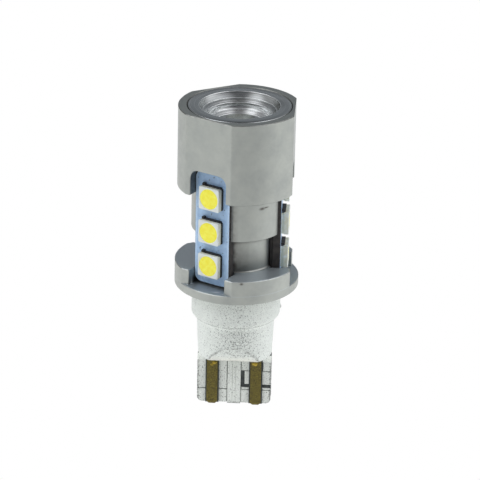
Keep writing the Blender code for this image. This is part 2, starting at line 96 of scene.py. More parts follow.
world = bpy.data.worlds.new("studio")
bpy.context.scene.world = world
world.use_nodes = True
sky = world.node_tree
direction = sky.nodes.new("ShaderNodeTexCoord").outputs["Generated"]
total = None
for glow_name, (towards, core, edge, light) in GLOWS.items():
    closeness = sky.nodes.new("ShaderNodeVectorMath")
    closeness.operation = "DOT_PRODUCT"
    closeness.inputs[1].default_value = Vector(towards).normalized()
    sky.links.new(direction, closeness.inputs[0])
    fade = sky.nodes.new("ShaderNodeMapRange")
    fade.interpolation_type = "SMOOTHSTEP"
    fade.inputs["From Min"].default_value = math.cos(math.radians(edge))
    fade.inputs["From Max"].default_value = math.cos(math.radians(core))
    sky.links.new(closeness.outputs["Value"], fade.inputs["Value"])
    glow = sky.nodes.new("ShaderNodeVectorMath")
    glow.label = glow_name
    glow.operation = "SCALE"
    glow.inputs[0].default_value = light
    sky.links.new(fade.outputs["Result"], glow.inputs["Scale"])
    if total is None:
        total = glow.outputs["Vector"]
    else:
        both = sky.nodes.new("ShaderNodeVectorMath")
        sky.links.new(total, both.inputs[0])
        sky.links.new(glow.outputs["Vector"], both.inputs[1])
        total = both.outputs["Vector"]
sky.links.new(total, sky.nodes["Background"].inputs["Color"])
sky.nodes["Background"].inputs["Strength"].default_value = 1.0

bpy.context.scene.view_settings.view_transform = "Standard"

stage_paint = bpy.data.materials.new("pale_stage")
stage_paint.use_nodes = True
stage_shader = stage_paint.node_tree.nodes["Principled BSDF"]
stage_shader.inputs["Base Color"].default_value = STAGE_UNLIT
stage_shader.inputs["Specular IOR Level"].default_value = 0.0
stage_shader.inputs["Emission Color"].default_value = STAGE_WHITE
stage_shader.inputs["Emission Strength"].default_value = 1.0
dome = bmesh.new()
bmesh.ops.create_uvsphere(dome, u_segments=STAGE_STEPS, v_segments=STAGE_STEPS // 2, radius=STAGE_RADIUS)
for corner in dome.verts:
    corner.co.z = max(corner.co.z, 0.0)
dome_mesh = bpy.data.meshes.new("pale_stage")
dome.to_mesh(dome_mesh)
dome.free()
dome_mesh.materials.append(stage_paint)
backdrop = bpy.data.objects.new("pale_stage", dome_mesh)
bpy.context.scene.collection.objects.link(backdrop)
backdrop.visible_diffuse = False
backdrop.visible_glossy = False
backdrop.visible_shadow = False


# Heat sink: turned from one aluminium bar, then milled with three flats and a deep slot in
# each, and left bare. Spigot, notched flange, two necks and head are one piece. The slots
# are a little narrower in the necks than in the head, dull, and painted dark inside as shade.
SIDES = 3
SEAT_GAP = 0.3 * MM
SINK_EDGE = 0.08 * MM
SLOT_HALF_WIDTH = 2.65 * MM
NECK_SLOT_HALF = 2.44 * MM
SLOT_FLOOR = 4.3 * MM
SLOT_CORNER = 1.2 * MM
SLOT_RISE = 3.5 * MM
FLAT_DISTANCE = 6.9 * MM
HEAD_RADIUS = 7.66 * MM
FLANGE_RADIUS = 7.86 * MM
FLANGE_DISC = 1.15 * MM
FLANGE_NOTCH = 2.0 * MM
SPIGOT_RADIUS = 4.3 * MM
LOWER_NECK_RADIUS = 4.78 * MM
LOWER_NECK_HEIGHT = 4.5 * MM
UPPER_NECK_RADIUS = 5.83 * MM
UPPER_NECK_HEIGHT = 5.6 * MM
NECK_FILLET = 0.3 * MM
POCKET_RADIUS = 6.56 * MM
POCKET_FLOOR = 34.4 * MM
SINK_METAL = (0.405, 0.425, 0.40, 1.0)
SINK_METAL_DULL = (0.355, 0.375, 0.36, 1.0)
# The dark of the nicks, and of the painted shade on the necks and the head's top edges.
SINK_NICK_AND_SHADE_DARK = (0.085, 0.076, 0.068, 1.0)
SINK_GLINT = (0.80, 0.83, 0.84, 1.0)
FLANGE_TOP_SHEEN_METAL = (0.44, 0.49, 0.52, 1.0)
FLANGE_TOP_DULL = 0.3
SLOT_SHADE_METAL = (0.15, 0.16, 0.16, 1.0)
SLOT_SHADE_METAL_WORN = (0.22, 0.23, 0.23, 1.0)
SINK_ROUGHNESS = 0.42
SLOT_ROUGHNESS = 0.5
TOOL_MARKS = 0.006 * MM
NICKS_MM = (
    ((3.30, -4.81, 28.87), 0.45, (0.7, 0.7, 1.5)),
    ((3.75, -4.45, 28.93), 0.40, (0.6, 0.6, 2.6)),
    ((1.07, -7.79, 19.86), 0.35, (1.0, 1.0, 1.3)),
)
# Worn spots on the ledge's edge, painted bright as highlights.
LEDGE_GLINTS_MM = (
    ((-6.20, -3.75, 18.10), 0.65, (0.9, 2.2, 0.5)),
    ((-5.50, -4.12, 18.10), 0.65, (0.9, 2.2, 0.5)),
    ((-2.10, -6.65, 18.10), 0.65, (0.8, 2.4, 0.5)),
    ((-1.10, -7.10, 18.10), 0.65, (0.8, 2.4, 0.5)),
)
SLOT_STEPS = 10
ROUND_STEPS = 26
BETWEEN_STEPS = 5
FILLET_STEPS = 6
SLOT_CORNER_STEPS = 8
SAME_POINT = 0.001 * MM
HAIR = 0.01 * MM
LEVEL_MM = 0.02
SLOT_FACE = 1

sink_low, sink_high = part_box("heat_sink_body")
flange_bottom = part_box("base_housing")[1].z + SEAT_GAP
ledge = flange_bottom + FLANGE_DISC
flange_top = ledge + FLANGE_NOTCH
lower_neck_top = flange_top + LOWER_NECK_HEIGHT
head_bottom = lower_neck_top + UPPER_NECK_HEIGHT
slot_top = head_bottom + SLOT_RISE
head_top = sink_high.z


def new_finish(name, colour, roughness, metallic=0.0):
    """A material whose shader begins with one colour, roughness and share of metal."""
    material = bpy.data.materials.new(name)
    material.use_nodes = True
    shader = material.node_tree.nodes["Principled BSDF"]
    shader.inputs["Base Color"].default_value = colour
    shader.inputs["Roughness"].default_value = roughness
    shader.inputs["Metallic"].default_value = metallic
    return material


def place_in_mm(tree, stretch=(1, 1, 1), origin_mm=(0, 0, 0)):
    """A point's own place on the bulb, in millimetres, for textures to follow."""
    place = tree.nodes.new("ShaderNodeTexCoord")
    scale = tree.nodes.new("ShaderNodeMapping")
    scale.inputs["Scale"].default_value = [1000 * share for share in stretch]
    scale.inputs["Location"].default_value = [-share * mm for share, mm in zip(stretch, origin_mm)]
    tree.links.new(place.outputs["Object"], scale.inputs["Vector"])
    return scale.outputs["Vector"]


def three_ways(tree, origin_mm=(0, 0, 0)):
    """A point's own place in millimetres again, as its X, Y and Z apart."""
    parts = tree.nodes.new("ShaderNodeSeparateXYZ")
    tree.links.new(place_in_mm(tree, (1, 1, 1), origin_mm), parts.inputs["Vector"])
    return parts.outputs


def cloud(tree, per_mm, detail=3.0, stretch=(1, 1, 1)):
    """Noise from 0 to 1, with so many waves to the millimetre."""
    texture = tree.nodes.new("ShaderNodeTexNoise")
    texture.inputs["Scale"].default_value = per_mm
    texture.inputs["Detail"].default_value = detail
    tree.links.new(place_in_mm(tree, stretch), texture.inputs["Vector"])
    return texture.outputs["Fac"]


def calculate(tree, operation, first, second=0.0):
    """One step of arithmetic on values or other nodes' outputs."""
    step = tree.nodes.new("ShaderNodeMath")
    step.operation = operation
    for value, socket in ((first, step.inputs[0]), (second, step.inputs[1])):
        if isinstance(value, bpy.types.NodeSocket):
            tree.links.new(value, socket)
        else:
            socket.default_value = value
    return step.outputs["Value"]


def away_from(tree, value, level):
    """How far a value is from a level, above or below."""
    return calculate(tree, "ABSOLUTE", calculate(tree, "SUBTRACT", value, level))


def ramp(tree, factor, stops):
    """Colours or grey values spread along a factor."""
    spread = tree.nodes.new("ShaderNodeValToRGB")
    spread.color_ramp.elements.remove(spread.color_ramp.elements[1])
    for i, (position, colour) in enumerate(stops):
        if not isinstance(colour, tuple):
            colour = (colour, colour, colour, 1.0)
        mark = spread.color_ramp.elements[0] if i == 0 else spread.color_ramp.elements.new(position)
        mark.position = position
        mark.color = colour
    tree.links.new(factor, spread.inputs["Fac"])
    return spread.outputs["Color"]


def blend(tree, factor, first, second, way="MIX"):
    """Mix two colours, each a value or another node's output."""
    mixer = tree.nodes.new("ShaderNodeMix")
    mixer.data_type = "RGBA"
    mixer.blend_type = way
    mixer.clamp_factor = True
    for value, socket in ((factor, mixer.inputs[0]), (first, mixer.inputs[6]), (second, mixer.inputs[7])):
        if isinstance(value, bpy.types.NodeSocket):
            tree.links.new(value, socket)
        else:
            socket.default_value = value
    return mixer.outputs[2]


def multiplied(tree, first, second):
    """Two grey values or colours, each darkened by the other."""
    return blend(tree, 1.0, first, second, "MULTIPLY")


def feed(tree, value, *inputs):
    """Lead a node's output into inputs of the material's shader."""
    for name in inputs:
        tree.links.new(value, tree.nodes["Principled BSDF"].inputs[name])


def patchy_finish(name, colour, second, roughness, per_mm=2.0, share=0.5, metallic=0.0):
    """A finish that wanders between two colours, in patches of so many to the millimetre."""
    material = new_finish(name, colour, roughness, metallic)
    tree = material.node_tree
    patches = ramp(tree, cloud(tree, per_mm, 4.0), [(share - 0.15, 0.0), (share + 0.15, 1.0)])
    feed(tree, blend(tree, patches, colour, second), "Base Color")
    return material


def near(tree, place_mm, reach_mm, stretch=(1, 1, 1)):
    """1 at a place on the bulb, falling to 0 at its reach."""
    distance = tree.nodes.new("ShaderNodeVectorMath")
    distance.operation = "LENGTH"
    tree.links.new(place_in_mm(tree, stretch, place_mm), distance.inputs[0])
    fall = tree.nodes.new("ShaderNodeMapRange")
    fall.interpolation_type = "SMOOTHSTEP"
    fall.inputs["From Max"].default_value = reach_mm
    fall.inputs["To Min"].default_value = 1.0
    fall.inputs["To Max"].default_value = 0.0
    tree.links.new(distance.outputs["Value"], fall.inputs["Value"])
    return fall.outputs["Result"]


def add_bump(tree, height, depth, strength=1.0):
    """Let a grey value raise the surface by up to a depth in metres."""
    bump = tree.nodes.new("ShaderNodeBump")
    bump.inputs["Distance"].default_value = depth
    bump.inputs["Strength"].default_value = strength
    tree.links.new(height, bump.inputs["Height"])
    feed(tree, bump.outputs["Normal"], "Normal")


def add_piece(name, shape, finishes, slot, *stands_for, crisp_above=30):
    """Put a shape on the bulb, in the place of the plain solids that it stands for.

    Its mesh is smooth, but stays crisp where it turns by more than an angle.
    """
    bmesh.ops.recalc_face_normals(shape, faces=shape.faces)
    mesh = bpy.data.meshes.new(name)
    shape.to_mesh(mesh)
    shape.free()
    mesh.shade_smooth()
    mesh.set_sharp_from_angle(angle=math.radians(crisp_above))
    for finish in finishes:
        mesh.materials.append(finish)
    item = bpy.data.objects.new(name, mesh)
    bpy.context.scene.collection.objects.link(item)
    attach(item, "root")
    if stands_for:
        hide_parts(*stands_for)
    return mesh


def stack(shape, rings):
    """Join rings of equally many points from one to the next, and close the ends."""
    loops = [[shape.verts.new(point) for point in ring] for ring in rings]
    count = len(loops[0])
    for low, high in zip(loops, loops[1:]):
        for i in range(count):
            j = (i + 1) % count
            shape.faces.new((low[i], low[j], high[j], high[i]))
    shape.faces.new(loops[0])
    shape.faces.new(loops[-1])


def bar_section(height, radius, flat=None, half=SLOT_HALF_WIDTH, floor=None, round_from=None, inset=0.0):
    """The bar's outline at one height: round, or with three flats, or with a slot in each face.

    Every outline has the same count of points, so that any two can be joined. round_from is
    where the flat ends and the round begins, and inset draws the flats in for a bevel.
    """
    flat = 2 * radius if flat is None else flat

    def surface(across):
        return min(flat, math.sqrt(max(radius ** 2 - across ** 2, 0.0)))

    if round_from is None:
        flat_end = math.sqrt(max(radius ** 2 - flat ** 2, 0.0))
        round_from = max(flat_end, half + 2 * SINK_EDGE)
    side = []
    for i in range(SLOT_STEPS + 1):
        across = half * i / SLOT_STEPS
        side.append((surface(across) - inset if floor is None else floor, across))
    if floor is None:
        side.append((surface(half + SINK_EDGE / 3) - inset, half + SINK_EDGE / 3))
    else:
        side.append((max(surface(half) - SINK_EDGE, floor), half))
    side.append((surface(half + SINK_EDGE) - inset, half + SINK_EDGE))
    first = math.atan2(round_from, surface(round_from))
    last = math.pi / SIDES
    for i in range(1, BETWEEN_STEPS):
        across = half + SINK_EDGE + (round_from - half - SINK_EDGE) * i / BETWEEN_STEPS
        side.append((surface(across) - inset, across))
    side.append((surface(round_from - SINK_EDGE / 4) - inset, round_from - SINK_EDGE / 4))
    for i in range(ROUND_STEPS):
        angle = first + (last - first) * i / ROUND_STEPS
        side.append((radius * math.cos(angle), radius * math.sin(angle)))
    corner = (radius * math.cos(last), radius * math.sin(last))
    outline = [(out, -across) for out, across in reversed(side[1:])] + side + [corner]
    ring = []
    for face in range(SIDES):
        turn = 2 * math.pi * face / SIDES
        for out, across in outline:
            x = out * math.cos(turn) - across * math.sin(turn)
            y = out * math.sin(turn) + across * math.cos(turn)
            ring.append((x, y, height))
    return ring


def circle_under(ring, radius, height):
    """A circle with as many points as a ring, each in the same direction from the axis."""
    points = []
    for x, y, _ in ring:
        angle = math.atan2(y, x)
        points.append((radius * math.cos(angle), radius * math.sin(angle), height))
    return points


def flange_section(height, radius):
    """The flange above its disc: notched, and flat where the head is flat."""
    inset = FLANGE_RADIUS - radius
    return bar_section(height, radius, FLAT_DISTANCE - inset, SLOT_HALF_WIDTH + inset, SLOT_FLOOR)


def head_section(height, half=SLOT_HALF_WIDTH, floor=SLOT_FLOOR, inset=0.0):
    """The head: flat at three sides, with a slot in each flat up to the slot's end."""
    return bar_section(height, HEAD_RADIUS - inset, FLAT_DISTANCE - inset, half, floor)


edge = SINK_EDGE
sink = bmesh.new()
round_bar = bar_section(0, SPIGOT_RADIUS)
stack(sink, [circle_under(round_bar, SPIGOT_RADIUS, height) for height in (sink_low.z, flange_bottom)])
flange_flat_end = math.sqrt(FLANGE_RADIUS ** 2 - FLAT_DISTANCE ** 2)
stack(sink, [
    bar_section(flange_bottom, FLANGE_RADIUS - edge, round_from=flange_flat_end),
    bar_section(flange_bottom + edge, FLANGE_RADIUS, round_from=flange_flat_end),
    bar_section(ledge - edge, FLANGE_RADIUS, round_from=flange_flat_end),
    bar_section(ledge, FLANGE_RADIUS, round_from=flange_flat_end, inset=edge),
    flange_section(ledge, FLANGE_RADIUS),
    flange_section(flange_top - edge, FLANGE_RADIUS),
    flange_section(flange_top, FLANGE_RADIUS - edge),
])
lower_neck = []
for i in range(FILLET_STEPS + 1):
    turn = math.pi / 2 * i / FILLET_STEPS
    radius = LOWER_NECK_RADIUS + NECK_FILLET * (1 - math.sin(turn))
    lower_neck.append((flange_top + NECK_FILLET * (1 - math.cos(turn)), radius))
lower_neck.append((lower_neck_top, LOWER_NECK_RADIUS))
rings = []
for height, radius in lower_neck:
    half = min(math.sqrt(radius ** 2 - SLOT_FLOOR ** 2), NECK_SLOT_HALF)
    rings.append(bar_section(height, radius, None, half, SLOT_FLOOR))
stack(sink, rings)
stack(sink, [
    bar_section(lower_neck_top, UPPER_NECK_RADIUS - edge, None, NECK_SLOT_HALF, SLOT_FLOOR),
    bar_section(lower_neck_top + edge, UPPER_NECK_RADIUS, None, NECK_SLOT_HALF, SLOT_FLOOR),
    bar_section(head_bottom, UPPER_NECK_RADIUS, None, NECK_SLOT_HALF, SLOT_FLOOR),
])
round_top = slot_top - SLOT_CORNER
head = [head_section(head_bottom, SLOT_HALF_WIDTH + edge, inset=edge), head_section(head_bottom + edge)]
for i in range(SLOT_CORNER_STEPS + 1):
    turn = math.pi / 2 * i / SLOT_CORNER_STEPS
    half = SLOT_HALF_WIDTH - SLOT_CORNER * (1 - math.cos(turn))
    head.append(head_section(round_top + SLOT_CORNER * math.sin(turn), half))
for height in (slot_top, slot_top + edge, head_top - edge):
    head.append(head_section(height, half, None))
head_rim = head_section(head_top, half, None, edge)
head.append(head_rim)
head.append(circle_under(head_rim, POCKET_RADIUS + edge, head_top))
head.append(circle_under(head_rim, POCKET_RADIUS, head_top - edge))
head.append(circle_under(head_rim, POCKET_RADIUS, POCKET_FLOOR))
stack(sink, head)
bmesh.ops.remove_doubles(sink, verts=sink.verts, dist=SAME_POINT)
for face in sink.faces:
    middle = face.calc_center_median()
    for side in range(SIDES):
        seen = Matrix.Rotation(-2 * math.pi * side / SIDES, 3, "Z") @ middle
        deep = SLOT_FLOOR - HAIR < seen.x < FLAT_DISTANCE - edge
        between = abs(seen.y) < SLOT_HALF_WIDTH + HAIR
        upright = abs(face.normal.z) < 0.5
        if deep and between and upright and flange_top < seen.z < slot_top:
            face.material_index = SLOT_FACE

sink_metal = new_finish("bare_aluminium", SINK_METAL, SINK_ROUGHNESS, 1.0)
tree = sink_metal.node_tree
tarnish = ramp(tree, cloud(tree, 0.5, 5.0), [(0.38, 0.0), (0.7, 1.0)])
bare = blend(tree, tarnish, SINK_METAL, SINK_METAL_DULL)
across_mm, back_mm, up_mm = three_ways(tree)

# Painted shade beside each slot, where the board shades the neck, as a share of the third of a turn from
# one slot to the next.
third_turn = 2 * math.pi / SIDES
turned_on = calculate(tree, "ADD", calculate(tree, "ARCTAN2", back_mm, across_mm), 2.5 * third_turn)
share_of_side = calculate(tree, "FRACT", calculate(tree, "DIVIDE", turned_on, third_turn))
beside_upper = ramp(tree, share_of_side, [(0.70, 0.0), (0.72, 1.0), (0.75, 0.45), (0.79, 0.0)])
beside_lower = ramp(tree, share_of_side, [(0.70, 0.0), (0.74, 0.9), (0.79, 0.4), (0.92, 0.1), (0.94, 0.0)])

# How much of it each neck has, and the painted shade at the step and at the foot, as a share of
# the height under the head: the foot lies at 0.666 of it and the step at 0.815.
height_share = calculate(tree, "DIVIDE", up_mm, head_bottom / MM)
on_upper = ramp(tree, height_share, [(0.812, 0.0), (0.818, 0.8), (0.99, 0.6), (1.0, 0.0)])
on_lower = ramp(tree, height_share, [(0.664, 0.0), (0.67, 1.0), (0.806, 0.8), (0.812, 0.0)])
at_step = ramp(tree, height_share, [(0.79, 0.0), (0.808, 0.5), (0.812, 0.7), (0.815, 0.0)])
at_foot = ramp(tree, height_share, [(0.664, 0.0), (0.67, 0.32), (0.71, 0.2), (0.77, 0.0)])
patchy = ramp(tree, cloud(tree, 1.3, 4.0), [(0.3, 0.45), (0.65, 1.0)])
beside_slots = blend(tree, 1.0, multiplied(tree, beside_upper, on_upper),
                     multiplied(tree, beside_lower, on_lower), "ADD")
painted_neck_shade = blend(tree, 1.0, multiplied(tree, beside_slots, patchy), at_foot, "ADD")
painted_neck_shade = blend(tree, 1.0, painted_neck_shade, at_step, "ADD")

# The nicks are dark marks, and the broken edges at the head's top are painted dark as shade. The
# ledge's edge has worn spots that are painted bright as highlights.
marks = {}
for kind, places in (("nicks", NICKS_MM), ("ledge_glints", LEDGE_GLINTS_MM)):
    marks[kind] = 0.0
    for place_mm, reach_mm, stretch in places:
        marks[kind] = calculate(tree, "MAXIMUM", marks[kind], near(tree, place_mm, reach_mm, stretch))
from_edge = away_from(tree, up_mm, (head_top - edge / 2) / MM)
at_edge = calculate(tree, "LESS_THAN", from_edge, 0.46 * edge / MM)
dark = calculate(tree, "MAXIMUM", calculate(tree, "MULTIPLY", marks["nicks"], 0.95),
                 calculate(tree, "MULTIPLY", at_edge, 0.6))
# Painted reflection: the flange's top and the ledge, which face up, are painted lighter and bluer than the
# sides, and less metallic.
from_level = calculate(tree, "MINIMUM", away_from(tree, up_mm, flange_top / MM),
                       away_from(tree, up_mm, ledge / MM))
up_face_sheen_here = calculate(tree, "LESS_THAN", from_level, LEVEL_MM)
shaded_and_sheened = blend(tree, up_face_sheen_here, blend(tree, painted_neck_shade, bare, SINK_NICK_AND_SHADE_DARK), FLANGE_TOP_SHEEN_METAL)
# Painted highlights: the worn spots on the ledge's edge are painted lighter and less metallic.
scraped_and_glinting = blend(tree, calculate(tree, "MULTIPLY", marks["ledge_glints"], 0.8), shaded_and_sheened, SINK_GLINT)
feed(tree, blend(tree, dark, scraped_and_glinting, SINK_NICK_AND_SHADE_DARK), "Base Color")
satin = calculate(tree, "MAXIMUM", marks["ledge_glints"],
                  calculate(tree, "MULTIPLY", up_face_sheen_here, FLANGE_TOP_DULL))
feed(tree, calculate(tree, "SUBTRACT", 1.0, satin), "Metallic")
feed(tree, ramp(tree, cloud(tree, 2.5, 3.0), [(0.3, 0.38), (0.7, 0.48)]), "Roughness")
add_bump(tree, cloud(tree, 4.0, 3.0, (1, 1, 3)), TOOL_MARKS, 0.6)
# Painted shade: the slots' walls get a much darker metal than the rest of the sink.
slot_shade_metal = patchy_finish("milled_slot_shaded", SLOT_SHADE_METAL, SLOT_SHADE_METAL_WORN, SLOT_ROUGHNESS, 1.5, 0.5, 1.0)
add_piece("heat_sink_metal", sink, (sink_metal, slot_shade_metal), "sink_metal", "heat_sink_body")


# Side light boards: blue masked circuit boards, cut with rounded corners and set upright
# into the slots on a dark adhesive pad. The mask is paler at the rim, and the sawn edges
# show the dark core.
BOARD_CORNER = 1.0 * MM
BOARD_EDGE = 0.05 * MM
BOARD_RIM = 0.30 * MM
BOARD_SHIFT = -0.08 * MM
BOARD_CORNER_STEPS = 6
PAD_HALF = 2.3 * MM
PAD_MARGIN = 0.25 * MM
MASK_RELIEF = 0.01 * MM
IN_MASK, AT_RIM, IN_CORE = 0, 1, 2
MASK_BLUE = (0.33, 0.505, 0.76, 1.0)
MASK_BLUE_PALE = (0.41, 0.61, 0.87, 1.0)
MASK_RIM = (0.50, 0.68, 0.90, 1.0)
MASK_SPECK = (0.07, 0.08, 0.11, 1.0)
BOARD_CORE = (0.022, 0.021, 0.021, 1.0)
BOARD_CORE_WORN = (0.050, 0.044, 0.040, 1.0)

board_low, board_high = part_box("side_led_board_1")


def rounded_box_ring(half_wide, low, high, corner, steps=BOARD_CORNER_STEPS):
    """Points around an upright rectangle with rounded corners, as across and up."""
    ring = []
    for start, across_way, up_way in ((0, 1, 1), (1, -1, 1), (2, -1, -1), (3, 1, -1)):
        centre_across = across_way * (half_wide - corner)
        centre_up = high - corner if up_way > 0 else low + corner
        for i in range(steps + 1):
            angle = math.pi / 2 * (start + i / steps)
            ring.append((centre_across + corner * math.cos(angle), centre_up + corner * math.sin(angle)))
    return ring


def broken_edges(low, high, edge):
    """The levels of a block whose edges are broken, each with how far it is drawn in."""
    return ((low, edge), (low + edge, 0), (high - edge, 0), (high, edge))


def turned_to(side, out, across, up):
    """A point of a light board's own frame, on the side of the sink that it belongs to."""
    angle = 2 * math.pi * (side - 1) / SIDES
    x = out * math.cos(angle) - (across + BOARD_SHIFT) * math.sin(angle)
    y = out * math.sin(angle) + (across + BOARD_SHIFT) * math.cos(angle)
    return (x, y, up)


def paint_faces(shape, per_ring, of_rows, of_face):
    """Give the first rows of a stack's faces their materials, and the last end face its own."""
    shape.faces.index_update()
    for face in shape.faces:
        row = face.index // per_ring
        if row < len(of_rows):
            face.material_index = of_rows[row]
    shape.faces.ensure_lookup_table()
    shape.faces[len(shape.faces) - 1].material_index = of_face


mask_finish = new_finish("light_blue_mask", MASK_BLUE, 0.32)
tree = mask_finish.node_tree
patches = ramp(tree, cloud(tree, 1.6, 4.0), [(0.35, 0.0), (0.65, 1.0)])
mask_tint = blend(tree, patches, MASK_BLUE, MASK_BLUE_PALE)
specks = ramp(tree, cloud(tree, 2.6, 1.0), [(0.68, 0.0), (0.76, 0.7)])
feed(tree, blend(tree, specks, mask_tint, MASK_SPECK), "Base Color")
add_bump(tree, cloud(tree, 4.0, 2.0), MASK_RELIEF, 0.4)
rim_finish = patchy_finish("mask_at_the_rim", MASK_RIM, MASK_BLUE_PALE, 0.35, 2.2, 0.6)
core_finish = patchy_finish("board_core", BOARD_CORE, BOARD_CORE_WORN, 0.7, 1.5, 0.55)

for side in range(1, SIDES + 1):
    board = bmesh.new()
    rings = []
    for out, inset in broken_edges(board_low.x, board_high.x, BOARD_EDGE):
        outline = rounded_box_ring(board_high.y - inset, board_low.z + inset, board_high.z - inset,
                                   BOARD_CORNER - inset)
        rings.append([turned_to(side, out, across, up) for across, up in outline])
    middle = rounded_box_ring(board_high.y - BOARD_RIM, board_low.z + 2 * BOARD_EDGE,
                              board_high.z - 2 * BOARD_EDGE, BOARD_CORNER - BOARD_RIM)
    rings.append([turned_to(side, board_high.x, across, up) for across, up in middle])
    stack(board, rings)
    paint_faces(board, len(middle), (IN_CORE, IN_CORE, IN_CORE, AT_RIM), IN_MASK)
    add_piece(f"side_light_board_{side}", board, (mask_finish, rim_finish, core_finish), "board_mask",
              f"side_led_board_{side}")
    pad = bmesh.new()
    outline = rounded_box_ring(PAD_HALF, board_low.z + PAD_MARGIN, board_high.z - PAD_MARGIN, BOARD_CORNER)
    rings = []
    for out in (SLOT_FLOOR, board_low.x):
        rings.append([turned_to(side, out, across, up) for across, up in outline])
    stack(pad, rings)
    add_piece(f"board_adhesive_{side}", pad, (core_finish,), "board_mask")


# Lights of the side boards: white moulded packages with a round well full of yellow gel,
# given a faint painted glow. Each is soldered to its board by pads under its edges: dark
# solder and painted shadow show above it and at one side, and the package's pale foot at
# the other.
PACKAGE_CORNER = 0.2 * MM
PACKAGE_BEVEL = 0.07 * MM
PACKAGE_FOOT = 0.03 * MM
PACKAGE_CORNER_STEPS = 12
WELL_RADIUS = 1.32 * MM
WELL_DEPTH = 0.3 * MM
WELL_EDGE = 0.03 * MM
WELL_LEAN = 0.1 * MM
GEL_SINK = 0.05 * MM
GEL_DOME = 0.04 * MM
GEL_STEPS = 48
GEL_ROWS = 7
PATCH_CORNER = 0.06 * MM
PATCH_EDGE = 0.02 * MM
PATCH_CORNER_STEPS = 3
WHITE_FACE, CREAM_FACE = 0, 1
# The dark blocks above and beside each package stand for solder and painted shadow; the mark is a polarity
# mark.
SOLDER_AND_SHADOW_PATCHES_MM = {
    "above": (-1.22, 1.40, 1.44, 1.62, 0.3),
    "beside": (0.00, 1.56, -1.40, 1.45, 0.0),
    "mark": (-1.33, -0.93, 1.42, 1.80, 0.2),
}
FOOT_PATCHES_MM = {"foot": (-1.42, -0.30, -1.38, 1.38, 0.0)}
LIGHTS_TO_A_BOARD = 3
PACKAGE_WHITE = (0.78, 0.83, 0.81, 1.0)
PACKAGE_CREAM = (0.66, 0.66, 0.52, 1.0)
GEL_YELLOW = (0.84, 0.77, 0.035, 1.0)
GEL_LEMON = (0.88, 0.86, 0.09, 1.0)
GEL_PAINTED_GLOW = 0.14
SOLDER_AND_SHADOW_DARK = (0.012, 0.010, 0.009, 1.0)
SOLDER_AND_SHADOW_WORN = (0.05, 0.042, 0.036, 1.0)

package_finish = patchy_finish("white_package", PACKAGE_WHITE, PACKAGE_CREAM, 0.45, 1.2, 0.75)
cream_finish = patchy_finish("package_side", PACKAGE_CREAM, PACKAGE_WHITE, 0.5, 2.0, 0.6)
solder_and_shadow_finish = patchy_finish("dark_solder_and_shadow_bed", SOLDER_AND_SHADOW_DARK, SOLDER_AND_SHADOW_WORN, 0.5, 3.0, 0.65)
gel_finish = new_finish("yellow_gel", GEL_YELLOW, 0.35)
tree = gel_finish.node_tree
grains = ramp(tree, cloud(tree, 2.2, 3.0), [(0.35, 0.0), (0.7, 1.0)])
# Painted glow: the gel glows faintly though the light is not lit.
feed(tree, blend(tree, grains, GEL_YELLOW, GEL_LEMON), "Base Color", "Emission Color")
tree.nodes["Principled BSDF"].inputs["Emission Strength"].default_value = GEL_PAINTED_GLOW


def circle(radius, steps, first=0.0):
    """Points around a circle, as across and up, the first of them at a share of a step."""
    turns = [2 * math.pi * (i + first) / steps for i in range(steps)]
    return [(radius * math.cos(turn), radius * math.sin(turn)) for turn in turns]


def package_shape(place, foot, face, half):
    """A package's mesh: place turns a distance out, across and up into a point."""
    shape = bmesh.new()
    rings = []
    block = ((foot, PACKAGE_FOOT), (foot + PACKAGE_FOOT, 0),
             (face - PACKAGE_BEVEL, 0), (face, PACKAGE_BEVEL))
    for out, inset in block:
        outline = rounded_box_ring(half - inset, inset - half, half - inset, PACKAGE_CORNER - inset,
                                   PACKAGE_CORNER_STEPS)
        rings.append([place(out, across, up) for across, up in outline])
    count = len(rings[0])
    well = ((face, WELL_RADIUS + WELL_EDGE), (face - WELL_EDGE, WELL_RADIUS),
            (face - WELL_DEPTH, WELL_RADIUS - WELL_LEAN))
    for out, radius in well:
        rings.append([place(out, across, up) for across, up in circle(radius, count, 0.5)])
    stack(shape, rings)
    paint_faces(shape, count, (CREAM_FACE, CREAM_FACE), WHITE_FACE)
    return shape


def gel_shape(place, face):
    """The gel in a package's well, slightly domed."""
    shape = bmesh.new()
    rings = []
    for i in range(GEL_ROWS):
        share = math.cos(math.pi / 2 * i / GEL_ROWS)
        out = face - GEL_SINK + GEL_DOME * (1 - share ** 2)
        outline = circle((WELL_RADIUS - HAIR) * share, GEL_STEPS)
        rings.append([place(out, across, up) for across, up in outline])
    stack(shape, rings)
    return shape


def bed_shape(place, back, foot, face, patches_mm):
    """Blocks on the board round a package's foot.

    Each has its left, right, low and high end in the package's own millimetres, and the
    share of the package's side that it reaches up.
    """
    shape = bmesh.new()
    for left, right, low, high, share in patches_mm.values():
        front = foot + share * (face - foot)
        half_wide = (right - left) / 2 * MM
        middle_across = (right + left) / 2 * MM
        rings = []
        for out, inset in ((back, 0), (front - PATCH_EDGE, 0), (front, PATCH_EDGE)):
            outline = rounded_box_ring(half_wide - inset, low * MM + inset, high * MM - inset,
                                       PATCH_CORNER - inset, PATCH_CORNER_STEPS)
            rings.append([place(out, middle_across + across, up) for across, up in outline])
        stack(shape, rings)
    return shape


